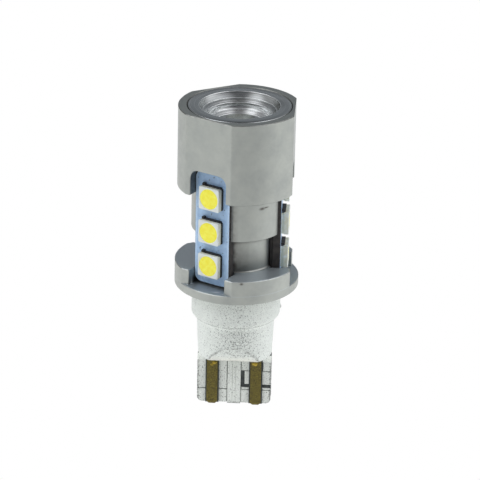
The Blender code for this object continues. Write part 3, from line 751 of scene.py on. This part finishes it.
for side in range(1, SIDES + 1):
    for number in range(1, LIGHTS_TO_A_BOARD + 1):
        low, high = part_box(f"led_package_1_{number}")
        middle_up = (low.z + high.z) / 2

        def on_board(out, across, up, side=side, middle_up=middle_up):
            """A point of this light's own frame, turned to its side and raised to its place."""
            return turned_to(side, out, across, middle_up + up)

        package = package_shape(on_board, low.x, high.x, high.y)
        add_piece(f"light_package_{side}_{number}", package, (package_finish, cream_finish), "led_frame",
                  f"led_package_{side}_{number}")
        gel = gel_shape(on_board, high.x)
        add_piece(f"light_gel_{side}_{number}", gel, (gel_finish,), "phosphor",
                  f"led_phosphor_{side}_{number}")
        for kind, finish, patches_mm in (("solder", solder_and_shadow_finish, SOLDER_AND_SHADOW_PATCHES_MM),
                                         ("foot", cream_finish, FOOT_PATCHES_MM)):
            bed = bed_shape(on_board, board_high.x, low.x, high.x, patches_mm)
            add_piece(f"light_{kind}_{side}_{number}", bed, (finish,), "led_frame")


# Light of the end: the same package on a small round board, at the foot of the reflector.
# The board is glued to the floor of the head's pocket. Down there all of it looks grey.
END_BOARD_STEPS = 72
GEL_SHADED = (0.24, 0.23, 0.19, 1.0)
GEL_SHADED_DULL = (0.15, 0.145, 0.13, 1.0)
END_MASK = (0.55, 0.57, 0.58, 1.0)
END_MASK_DULL = (0.42, 0.44, 0.45, 1.0)


def facing_up(out, across, up):
    """A point of the end light's own frame: out of the board is up along the axis."""
    return (up, across, out)


end_low, end_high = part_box("end_led_board")
end_board = bmesh.new()
rings = []
for height, inset in broken_edges(end_low.z, end_high.z, BOARD_EDGE):
    rings.append([(x, y, height) for x, y in circle(end_high.x - inset, END_BOARD_STEPS)])
stack(end_board, rings)
end_mask_finish = patchy_finish("pale_mask", END_MASK, END_MASK_DULL, 0.35)
add_piece("end_light_board", end_board, (end_mask_finish,), "board_mask", "end_led_board")
low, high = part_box("led_package_end")
package = package_shape(facing_up, low.z, high.z, high.y)
add_piece("light_package_end", package, (package_finish, cream_finish), "led_frame", "led_package_end")
shaded_gel_finish = patchy_finish("gel_in_the_shade", GEL_SHADED, GEL_SHADED_DULL, 0.35, 2.2)
gel = gel_shape(facing_up, high.z)
add_piece("light_gel_end", gel, (shaded_gel_finish,), "phosphor", "led_phosphor_end")


# Reflector: a turned aluminium insert pressed into the head's pocket. Its bore steps down
# to the end light, and each corner of the steps keeps the rounded lip that the tool left,
# painted bright as a highlight. It is painted brighter deeper down as a highlight, and
# sooty at one place of its mouth.
CUP_EDGE = 0.05 * MM
CUP_OUTSIDE = 6.47 * MM
CUP_MOUTH = 5.04 * MM
CUP_THROAT = 3.12 * MM
CUP_STEPS = 2
CUP_WALL_DROP = 0.70 * MM
CUP_WALL_LEAN = 0.40 * MM
CUP_TREAD_DROP = 0.42 * MM
CUP_LIP = 0.07 * MM
LIP_POINTS = 5
TURN_STEPS = 144
CUP_ROUGHNESS = 0.22
CUP_ANISOTROPY = 0.7
LIP_ROUGHNESS = 0.34
CUP_RELIEF = 0.014 * MM
CRISP_TURNING = 50
CUP_METAL = (0.50, 0.52, 0.52, 1.0)
CUP_METAL_DULL = (0.36, 0.38, 0.38, 1.0)
CUP_HIGHLIGHT_METAL = (0.80, 0.82, 0.82, 1.0)
CUP_SOOT = (0.10, 0.10, 0.085, 1.0)
SOOT_MM = (4.75, 0.9, 40.1)
SOOT_REACH_MM = 1.7
BORE_MM = 3.0

cup_low, cup_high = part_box("reflector_cup")


def lip(radius, height):
    """The rounded lip that a tool leaves at a corner of the bore; its finish is a painted highlight."""
    points = []
    for i in range(LIP_POINTS):
        angle = math.radians(45 + 45 * i)
        points.append((radius + CUP_LIP * math.cos(angle), height + CUP_LIP * math.sin(angle)))
    return points


def turned_shape(outline):
    """Turn a closed outline of radius and height about the bulb's axis."""
    shape = bmesh.new()
    loops = []
    for radius, height in outline:
        loops.append([shape.verts.new((x, y, height)) for x, y in circle(radius, TURN_STEPS)])
    for first, second in zip(loops, loops[1:] + loops[:1]):
        for i in range(TURN_STEPS):
            j = (i + 1) % TURN_STEPS
            shape.faces.new((first[i], first[j], second[j], second[i]))
    return shape


def turned_lines(tree, per_mm, detail=2.0):
    """Noise that runs round the axis, as the marks of a turning tool do."""
    reach = tree.nodes.new("ShaderNodeVectorMath")
    reach.operation = "LENGTH"
    tree.links.new(place_in_mm(tree, (1, 1, 0)), reach.inputs[0])
    rings_of = tree.nodes.new("ShaderNodeCombineXYZ")
    tree.links.new(reach.outputs["Value"], rings_of.inputs["X"])
    tree.links.new(three_ways(tree)["Z"], rings_of.inputs["Y"])
    lines = tree.nodes.new("ShaderNodeTexNoise")
    lines.inputs["Scale"].default_value = per_mm
    lines.inputs["Detail"].default_value = detail
    tree.links.new(rings_of.outputs["Vector"], lines.inputs["Vector"])
    return lines.outputs["Fac"]


bore = []
for i in range(LIP_POINTS):
    angle = math.pi / 2 * (1 + i / (LIP_POINTS - 1))
    bore.append((CUP_MOUTH + CUP_LIP * (1 + math.cos(angle)), cup_high.z - CUP_LIP * (1 - math.sin(angle))))
step_width = (CUP_MOUTH - CUP_THROAT) / CUP_STEPS
radius = CUP_MOUTH
height = cup_high.z - CUP_LIP
for step in range(CUP_STEPS):
    bore += lip(radius - CUP_WALL_LEAN, height - CUP_WALL_DROP)
    bore += lip(radius - step_width, height - CUP_WALL_DROP - CUP_TREAD_DROP)
    radius -= step_width
    height -= CUP_WALL_DROP + CUP_TREAD_DROP
outside = []
for height, inset in broken_edges(cup_low.z, cup_high.z, CUP_EDGE):
    outside.append((CUP_OUTSIDE - inset, height))
outline = [(CUP_THROAT, cup_low.z)] + outside + bore
cup = turned_shape(outline)
first_bore_row = 1 + len(outside)
on_lip = []
for row in range(len(outline)):
    joins_two_lips = (row - first_bore_row) % LIP_POINTS == LIP_POINTS - 1
    on_lip.append(int(row >= first_bore_row and not joins_two_lips))
paint_faces(cup, TURN_STEPS, on_lip, 0)

cup_metal = new_finish("turned_aluminium", CUP_METAL, CUP_ROUGHNESS, 1.0)
tree = cup_metal.node_tree
darker_lines = ramp(tree, turned_lines(tree, 7.0), [(0.4, 0.0), (0.62, 1.0)])
lined = blend(tree, darker_lines, CUP_METAL, CUP_METAL_DULL)
# Painted highlight: the bore is painted brighter deeper down, towards the end light.
above_bore = three_ways(tree, (0, 0, cup_high.z / MM - BORE_MM))["Z"]
bore_share = calculate(tree, "DIVIDE", above_bore, BORE_MM)
painted_light_deeper = ramp(tree, bore_share, [(0.3, 0.9), (0.62, 0.6), (0.72, 0.0)])
lined = blend(tree, painted_light_deeper, lined, CUP_HIGHLIGHT_METAL)
sooty_patches = ramp(tree, cloud(tree, 3.0), [(0.35, 0.4), (0.6, 0.9)])
sooty = calculate(tree, "MULTIPLY", near(tree, SOOT_MM, SOOT_REACH_MM, (1, 0.7, 1)), sooty_patches)
feed(tree, blend(tree, sooty, lined, CUP_SOOT), "Base Color")
tree.nodes["Principled BSDF"].inputs["Anisotropic"].default_value = CUP_ANISOTROPY
tangent = tree.nodes.new("ShaderNodeTangent")
tangent.direction_type = "RADIAL"
tangent.axis = "Z"
feed(tree, tangent.outputs["Tangent"], "Tangent")
add_bump(tree, turned_lines(tree, 6.0, 1.0), CUP_RELIEF, 0.5)
# Painted highlight: the lips' finish is much brighter than the bore's.
lip_highlight_metal = patchy_finish("turned_lip_highlight", CUP_HIGHLIGHT_METAL, CUP_METAL, LIP_ROUGHNESS, 1.5, 0.6, 1.0)
add_piece("reflector_insert", cup, (cup_metal, lip_highlight_metal), "reflector_metal", "reflector_cup",
          crisp_above=CRISP_TURNING)


# Driver board: one slim circuit board. Its lower end is the wedge, coated white in panels
# with bare dark grooves between them; its upper end stands in the housing. A panel has its
# left, right, low and high end in millimetres, and how far it stands proud of the others.
CORE_HALF = 0.68 * MM
CORE_INSET = 0.02 * MM
CORE_FOOT = 0.17 * MM
COAT_FACE = 0.8 * MM
COAT_ROOT = 0.05 * MM
COAT_EDGE = 0.04 * MM
WEDGE_HALF = 4.75 * MM
WEDGE_CORNER = 0.65 * MM
WEDGE_CORNER_STEPS = 4
CORNER_PANELS_BELOW_MM = 1
CORE_SHOULDER = 6.85 * MM
TONGUE_HALF = 3.1 * MM
COAT_RELIEF = 0.05 * MM
PANELS_MM = {
    "lower_left": (-4.75, -0.93, 0.15, 1.97, 0.0),
    "upper_left": (-4.75, -0.93, 2.07, 6.02, 0.0),
    "left_rail": (-0.85, -0.22, 0.03, 6.02, 0.05),
    "rib_floor": (-0.22, 0.22, 0.00, 6.02, 0.0),
    "right_rail": (0.22, 0.86, 0.03, 6.02, 0.05),
    "lower_right": (0.92, 4.75, 0.15, 1.98, 0.0),
    "right_strip": (0.98, 4.75, 2.07, 2.34, 0.0),
    "right_pad": (1.36, 4.75, 2.84, 4.64, 0.02),
    "upper_middle": (0.94, 3.44, 4.74, 6.02, 0.0),
    "upper_right": (3.72, 4.75, 4.74, 6.02, 0.0),
    "top_band": (-4.75, 4.75, 6.00, 6.93, 0.01),
}
COAT_WHITE = (0.94, 0.985, 0.93, 1.0)
BAND_PAINTED_LIGHT = 0.10
COAT_GREY = (0.66, 0.70, 0.665, 1.0)
COAT_SPECK = (0.10, 0.105, 0.10, 1.0)
CORE_SLATE = (0.034, 0.043, 0.043, 1.0)
CORE_WORN = (0.08, 0.092, 0.09, 1.0)

driver_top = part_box("driver_board")[1].z


def slab(shape, left, right, low, high, back, front, edge, corner=0.0):
    """A flat upright block with broken edges, and rounded lower corners where the wedge has them."""
    way = math.copysign(1.0, front - back)
    left_corner = corner if corner and left <= CORE_INSET - WEDGE_HALF else HAIR
    right_corner = corner if corner and right >= WEDGE_HALF - CORE_INSET else HAIR
    lower_corners = ((left + left_corner, left_corner, math.pi),
                     (right - right_corner, right_corner, 1.5 * math.pi))
    rings = []
    for depth, drawn in broken_edges(back, front, way * edge):
        inset = abs(drawn)
        outline = [(right - inset, high - inset), (left + inset, high - inset)]
        for centre, radius, start in lower_corners:
            reach = radius - inset * radius / (radius + edge)
            for i in range(WEDGE_CORNER_STEPS + 1):
                turn = start + math.pi / 2 * i / WEDGE_CORNER_STEPS
                outline.append((centre + reach * math.cos(turn),
                                low + inset + radius * (1 + math.sin(turn))))
        rings.append([(across, depth, up) for across, up in outline])
    stack(shape, rings)


def speckled_white(material, white, grey, speck, share, more=None):
    """White paint sprayed thinly over a rough ground: faint clouds and fine dark grains.

    A smaller share brings more grains, and so does more, a value that varies over the piece.
    It gives back the colour, for a piece that has more on top of it.
    """
    tree = material.node_tree
    clouds = ramp(tree, cloud(tree, 1.0, 4.0), [(0.4, 0.0), (0.8, 0.4)])
    tint = blend(tree, clouds, white, grey)
    grain = cloud(tree, 6.0, 2.0)
    fine_grain = cloud(tree, 10.0, 1.0)
    if more is not None:
        grain = calculate(tree, "ADD", grain, more)
        fine_grain = calculate(tree, "ADD", fine_grain, more)
    fine_grains = ramp(tree, fine_grain, [(share - 0.14, 0.0), (share + 0.02, 0.75)])
    tint = blend(tree, fine_grains, tint, grey)
    grains = ramp(tree, grain, [(share, 0.0), (share + 0.06, 0.7)])
    tint = blend(tree, grains, tint, speck)
    feed(tree, tint, "Base Color")
    add_bump(tree, grain, COAT_RELIEF, 0.5)
    return tint


core = bmesh.new()
slab(core, CORE_INSET - WEDGE_HALF, WEDGE_HALF - CORE_INSET, CORE_FOOT, CORE_SHOULDER,
     -CORE_HALF, CORE_HALF, COAT_EDGE, WEDGE_CORNER)
slab(core, -TONGUE_HALF, TONGUE_HALF, CORE_SHOULDER, driver_top, -CORE_HALF, CORE_HALF, COAT_EDGE)
slate = patchy_finish("bare_board", CORE_SLATE, CORE_WORN, 0.6, 2.0, 0.6)
add_piece("driver_board_core", core, (slate,), "wedge_board")

coat = bmesh.new()
for panel, (left, right, low, high, proud) in PANELS_MM.items():
    first_new = len(coat.faces)
    corner = WEDGE_CORNER if low < CORNER_PANELS_BELOW_MM else 0.0
    for way in (-1, 1):
        slab(coat, left * MM, right * MM, low * MM, high * MM, way * (CORE_HALF - COAT_ROOT),
             way * (COAT_FACE + proud * MM), COAT_EDGE, corner)
    coat.faces.ensure_lookup_table()
    for face in coat.faces[first_new:]:
        face.material_index = int(panel == "top_band")
white_coat = new_finish("speckled_white_coat", COAT_WHITE, 0.5)
tree = white_coat.node_tree
across_mm, _, up_mm = three_ways(tree)
to_side = calculate(tree, "DIVIDE", calculate(tree, "ABSOLUTE", across_mm), WEDGE_HALF / MM)
to_foot = calculate(tree, "SUBTRACT", 1.0, calculate(tree, "DIVIDE", up_mm, WEDGE_HALF / MM))
to_edge = calculate(tree, "MAXIMUM", to_side, to_foot)
chipped = ramp(tree, to_edge, [(0.93, 0.0), (0.985, 0.2)])
speckled_white(white_coat, COAT_WHITE, COAT_GREY, COAT_SPECK, 0.60, chipped)
# Painted light: the top band under the housing glows faintly, so that it is not darker than the body.
band_coat_painted_lit = new_finish("speckled_white_band_painted_lit", COAT_WHITE, 0.5)
speckled_white(band_coat_painted_lit, COAT_WHITE, COAT_GREY, COAT_SPECK, 0.63)
band_shader = band_coat_painted_lit.node_tree.nodes["Principled BSDF"]
band_shader.inputs["Emission Color"].default_value = COAT_WHITE
band_shader.inputs["Emission Strength"].default_value = BAND_PAINTED_LIGHT
add_piece("wedge_coat", coat, (white_coat, band_coat_painted_lit), "wedge_board", "driver_board")


# Contacts: two strips of sheet brass, folded under the wedge and up its back, soldered near
# the top and tarnished. Each lies in a dark bed, a little wider than the strip. A solder spot
# has its middle, across and up, and its half width and half height in millimetres.
CONTACT_CORNER = 0.25 * MM
CONTACT_SHEET = 0.2 * MM
CONTACT_EDGE = 0.05 * MM
CONTACT_TOP = 6.85 * MM
CONTACT_BEND = 0.3 * MM
FOLD_STEPS = 6
CRISP_FOLD = 40
BRASS_RELIEF = 0.03 * MM
BED_MARGIN = 0.16 * MM
BED_EDGE = 0.02 * MM
BED_FOOT = 0.22 * MM
BED_RISE = 0.05 * MM
SPOT_PROUD_MM = 0.07
SPOT_WOBBLE = 0.3
SPOT_STEPS = 24
SPOT_ROWS = 14
BRASS = (0.13, 0.105, 0.022, 1.0)
BRASS_DULL = (0.105, 0.085, 0.024, 1.0)
BRASS_BRIGHT = (0.22, 0.185, 0.04, 1.0)
BRASS_DARK = (0.035, 0.032, 0.015, 1.0)
SOLDER_GOLD = (0.50, 0.36, 0.05, 1.0)
SOLDER_BROWN = (0.22, 0.16, 0.03, 1.0)
SOLDER_SPOTS_MM = ((-2.55, 5.92, 0.30, 0.20), (-2.85, 5.62, 0.22, 0.12), (2.69, 5.96, 0.36, 0.26))

brass = new_finish("tarnished_brass", BRASS, 0.5, 0.6)
tree = brass.node_tree
tarnish = ramp(tree, cloud(tree, 1.6, 5.0), [(0.38, 0.0), (0.66, 1.0)])
stained = blend(tree, tarnish, BRASS, BRASS_DULL)
bright_grains = ramp(tree, cloud(tree, 7.0, 2.0), [(0.48, 0.0), (0.66, 1.0)])
stained = blend(tree, bright_grains, stained, BRASS_BRIGHT)
dark_grains = ramp(tree, cloud(tree, 5.5, 2.0), [(0.56, 0.0), (0.66, 0.8)])
feed(tree, blend(tree, dark_grains, stained, BRASS_DARK), "Base Color")
add_bump(tree, cloud(tree, 5.0, 3.0), BRASS_RELIEF, 0.6)
gold = patchy_finish("gold_solder", SOLDER_GOLD, SOLDER_BROWN, 0.4, 3.0, 0.5, 0.8)


def strip_ring(centre, point, ahead, behind):
    """The strip's cross-section at one point of its path, which has y, z and half the width."""
    y, z, half = point
    along = Vector((0, ahead[0] - behind[0], ahead[1] - behind[1])).normalized()
    across = Vector((1, 0, 0))
    outward = along.cross(across)
    middle = Vector((centre, y, z))
    thick = CONTACT_SHEET / 2
    ring = []
    for way in (1, -1):
        for out, aside in ((-thick, half - CONTACT_EDGE), (CONTACT_EDGE - thick, half),
                           (thick - CONTACT_EDGE, half), (thick, half - CONTACT_EDGE)):
            ring.append(middle + across * way * aside + outward * way * out)
    return ring


for side_name in ("left", "right"):
    low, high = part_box(f"{side_name}_contact")
    centre = (low.x + high.x) / 2
    half = (high.x - low.x) / 2
    depth = high.y - CONTACT_SHEET / 2
    path = [(-depth, CONTACT_TOP, half - CONTACT_EDGE), (-depth, CONTACT_TOP - CONTACT_EDGE, half),
            (-depth, CONTACT_BEND + CONTACT_SHEET, half)]
    for i in range(FOLD_STEPS + 1):
        turn = math.pi / 2 * i / FOLD_STEPS
        narrowed = half - CONTACT_CORNER * min(1.0, 2 * i / FOLD_STEPS)
        path.append((-depth + CONTACT_BEND * (1 - math.cos(turn)),
                     CONTACT_SHEET / 2 + CONTACT_BEND * (1 - math.sin(turn)), narrowed))
    path += [(-y, z, wide) for y, z, wide in reversed(path)]
    strip = bmesh.new()
    rings = []
    for i, point in enumerate(path):
        ahead = path[min(i + 1, len(path) - 1)]
        behind = path[max(i - 1, 0)]
        rings.append(strip_ring(centre, point, ahead, behind))
    stack(strip, rings)
    add_piece(f"{side_name}_contact_strip", strip, (brass,), "contact_brass", f"{side_name}_contact",
              crisp_above=CRISP_FOLD)
    bed = bmesh.new()
    for way in (-1, 1):
        slab(bed, centre - half - BED_MARGIN, centre + half + BED_MARGIN, BED_FOOT, CONTACT_TOP + BED_RISE,
             way * COAT_FACE, way * (high.y - CONTACT_SHEET), BED_EDGE)
    add_piece(f"{side_name}_contact_bed", bed, (slate,), "wedge_board")

strip_face = Vector((0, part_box("right_contact")[0].y, 0))
spots = bmesh.new()
for across, up, half_wide, half_tall in SOLDER_SPOTS_MM:
    ball = bmesh.ops.create_uvsphere(spots, u_segments=SPOT_STEPS, v_segments=SPOT_ROWS, radius=1.0)
    for vert in ball["verts"]:
        x, y, z = vert.co
        wobble = 1 + SPOT_WOBBLE * noise.noise(vert.co * 2 + Vector((across, up, 0)))
        place = Vector((across + x * half_wide * wobble, y * SPOT_PROUD_MM, up + z * half_tall * wobble))
        vert.co = place * MM + strip_face
add_piece("contact_solder", spots, (gold,), "contact_brass")


# Driver parts and leads: hidden inside the housing. The bridge and the chip are moulded
# black, the choke is dark ferrite, the capacitor tan ceramic and the wires white.
HIDDEN_FINISHES = {
    "moulded_black": ((0.015, 0.015, 0.016, 1.0), (0.03, 0.03, 0.032, 1.0), 0.55),
    "dark_ferrite": ((0.06, 0.06, 0.065, 1.0), (0.10, 0.10, 0.11, 1.0), 0.6),
    "tan_ceramic": ((0.38, 0.25, 0.14, 1.0), (0.46, 0.34, 0.21, 1.0), 0.5),
    "white_insulation": ((0.70, 0.70, 0.68, 1.0), (0.78, 0.78, 0.76, 1.0), 0.45),
}
HIDDEN_NODES = {
    "moulded_black": ("rectifier_bridge", "driver_chip"),
    "dark_ferrite": ("power_inductor",),
    "tan_ceramic": ("input_capacitor",),
    "white_insulation": ("end_board_lead", "side_board_lead_1", "side_board_lead_2", "side_board_lead_3"),
}

for name, (colour, second, roughness) in HIDDEN_FINISHES.items():
    hidden_finish = patchy_finish(name, colour, second, roughness)
    for node in HIDDEN_NODES[name]:
        for material_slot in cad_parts[node].material_slots:
            material_slot.link = "OBJECT"
            material_slot.material = hidden_finish


# Base housing: a moulded shell, sprayed white, pushed up over the spigot and the driver
# board. It has a round collar with a small moulding nib, a soft shoulder, and two sloped
# facets above the wedge. Dark grains gather in its creases and down its middle.
COLLAR_RADIUS = 5.66 * MM
BODY_TOP_RADIUS = 4.95 * MM
BODY_FOOT_RADIUS = 4.75 * MM
COLLAR_BOTTOM = 13.1 * MM
BODY_TOP = 11.9 * MM
FACET_LIP = 3.48 * MM
FACET_TOP = 9.45 * MM
FACET_TIP = 0.25 * MM
SHOULDER_LINE = 12.68 * MM
NIB_ANGLE = math.radians(-3)
NIB_HEIGHT = 13.8 * MM
NIB_REACH = 0.35 * MM
NIB_DEPTH = 0.16 * MM
HOUSING_WHITE = (0.88, 0.935, 0.885, 1.0)
HOUSING_GREY = (0.62, 0.66, 0.63, 1.0)
HOUSING_SPECK = (0.10, 0.105, 0.10, 1.0)
FACET_BEIGE = (0.985, 0.95, 0.92, 1.0)
BEIGE_TOP = 8.3 * MM
BEIGE_FADE = 0.9 * MM
MIDDLE_SHIFT = 0.5 * MM
MIDDLE_WIDTH = 2.8 * MM
MIDDLE_ON_COLLAR = 0.35
MIDDLE_ON_BODY = 0.8
ARCH_WIDTH = 0.10 * MM
ARCH_REACH = 0.3 * MM
ARCH_GAP_MM = 1.0
LINE_WIDTH = 0.09 * MM
FOOT_WIDTH = 0.06 * MM
NIB_STAIN = 0.2 * MM
FACET_FROM = 2 * MM
MOUTH_WALL = 0.3 * MM
FOOT_EDGE = 0.04 * MM
COLLAR_EDGE = 0.06 * MM
COLLAR_BAND = 0.2 * MM
ROW_HEIGHT = 0.1 * MM
ARC_STEPS = 60
FACET_STEPS = 40
CRISP_HOUSING = 20

housing_low, housing_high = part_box("base_housing")


def housing_radius(height):
    """The housing's radius at a height, with a soft shoulder under the collar."""
    if height >= COLLAR_BOTTOM:
        return COLLAR_RADIUS
    if height <= BODY_TOP:
        share = (height - housing_low.z) / (BODY_TOP - housing_low.z)
        return BODY_FOOT_RADIUS + (BODY_TOP_RADIUS - BODY_FOOT_RADIUS) * share
    share = (height - BODY_TOP) / (COLLAR_BOTTOM - BODY_TOP)
    return BODY_TOP_RADIUS + (COLLAR_RADIUS - BODY_TOP_RADIUS) * share * share * (3 - 2 * share)


def facet_depth(height):
    """How far the sloped facet stands from the middle of the shell at a height."""
    slope = (BODY_FOOT_RADIUS - FACET_LIP) / (FACET_TOP - housing_low.z)
    return FACET_LIP + slope * (height - housing_low.z)


def housing_ring(height, radius):
    """Round, but for a facet at the front and back where the shell slopes in to the wedge."""
    facet = facet_depth(height)
    half = math.sqrt(max(radius ** 2 - facet ** 2, FACET_TIP ** 2))
    open_to = math.acos(half / radius)
    ring = []
    for way in (0, 1):
        for i in range(ARC_STEPS):
            angle = math.pi * way - open_to + 2 * open_to * i / ARC_STEPS
            proud = 0.0
            if abs(height - NIB_HEIGHT) < NIB_REACH and way == 0:
                off = math.hypot((angle - NIB_ANGLE) * radius, height - NIB_HEIGHT) / NIB_REACH
                proud = NIB_DEPTH * max(0.0, 1 - off ** 2)
            ring.append(((radius + proud) * math.cos(angle), (radius + proud) * math.sin(angle), height))
        for i in range(FACET_STEPS):
            across = half - 2 * half * i / FACET_STEPS
            depth = min(facet, math.sqrt(radius ** 2 - across ** 2))
            ring.append(((1 - 2 * way) * across, (1 - 2 * way) * depth, height))
    return ring


heights = [housing_low.z + FOOT_EDGE]
while heights[-1] < housing_high.z - COLLAR_BAND:
    heights.append(heights[-1] + ROW_HEIGHT)
rings = [housing_ring(housing_low.z, BODY_FOOT_RADIUS - inset) for inset in (MOUTH_WALL, FOOT_EDGE)]
rings += [housing_ring(height, housing_radius(height)) for height in heights]
rings.append(housing_ring(housing_high.z - COLLAR_EDGE, COLLAR_RADIUS))
for height in (housing_high.z, housing_high.z + SEAT_GAP):
    rings.append(housing_ring(height, COLLAR_RADIUS - COLLAR_EDGE))
shell = bmesh.new()
stack(shell, rings)
sprayed_white = new_finish("sprayed_white", HOUSING_WHITE, 0.5)
shell_mesh = add_piece("housing_shell", shell, (sprayed_white,), "housing_white", "base_housing",
                       crisp_above=CRISP_HOUSING)


def bell(distance, width):
    """1 at no distance, falling softly to about a third at the width."""
    return math.exp(-(distance / width) ** 2)


grain_here = shell_mesh.attributes.new("grain_here", "FLOAT", "POINT")
crease_here = shell_mesh.attributes.new("crease_here", "FLOAT", "POINT")
facet_here = shell_mesh.attributes.new("facet_here", "FLOAT", "POINT")
for i, vert in enumerate(shell_mesh.vertices):
    x, y, z = vert.co
    from_arch = MM
    if z < FACET_TOP + ARCH_REACH and abs(y) >= FACET_FROM:
        from_arch = math.hypot(x, facet_depth(z)) - housing_radius(z)
    on_facet = from_arch < 0
    around_nib = math.hypot((math.atan2(y, x) - NIB_ANGLE) * COLLAR_RADIUS, z - NIB_HEIGHT)
    on_arch = bell(from_arch, ARCH_WIDTH) * min(1.0, max(0.15, (abs(x) / MM - ARCH_GAP_MM) / 0.8))
    on_line = bell(z - SHOULDER_LINE, LINE_WIDTH)
    on_foot = bell(z - housing_low.z, FOOT_WIDTH) if on_facet else 0.0
    on_nib = bell(around_nib, NIB_STAIN)
    most = MIDDLE_ON_COLLAR if z > COLLAR_BOTTOM else MIDDLE_ON_BODY
    in_middle = most * bell(x - MIDDLE_SHIFT, MIDDLE_WIDTH)
    beige = min(1.0, max(0.0, (BEIGE_TOP - z) / BEIGE_FADE)) if on_facet else 0.0
    grain_here.data[i].value = max(on_arch, 0.8 * on_line, in_middle * (1 - beige))
    crease_here.data[i].value = max(0.5 * on_arch, 0.85 * on_line, on_nib, 0.6 * on_foot)
    facet_here.data[i].value = beige


def painted_in(tree, name):
    """A value kept with the shell's points."""
    kept = tree.nodes.new("ShaderNodeAttribute")
    kept.attribute_name = name
    return kept.outputs["Fac"]


tree = sprayed_white.node_tree
more_grain = calculate(tree, "SUBTRACT", calculate(tree, "MULTIPLY", painted_in(tree, "grain_here"), 0.13),
                       calculate(tree, "MULTIPLY", painted_in(tree, "facet_here"), 0.04))
speckled = speckled_white(sprayed_white, HOUSING_WHITE, HOUSING_GREY, HOUSING_SPECK, 0.63, more_grain)
warmed = blend(tree, painted_in(tree, "facet_here"), speckled, FACET_BEIGE, "MULTIPLY")
# Painted shade: the shell is greyer towards its left and right sides.
to_side = calculate(tree, "DIVIDE", calculate(tree, "ABSOLUTE", three_ways(tree)["X"]), COLLAR_RADIUS / MM)
warmed = blend(tree, ramp(tree, to_side, [(0.66, 0.0), (0.9, 0.35)]), warmed, HOUSING_GREY)
broken = ramp(tree, cloud(tree, 2.0, 3.0), [(0.4, 0.25), (0.6, 1.0)])
creased = multiplied(tree, painted_in(tree, "crease_here"), broken)
feed(tree, blend(tree, creased, warmed, HOUSING_SPECK), "Base Color")
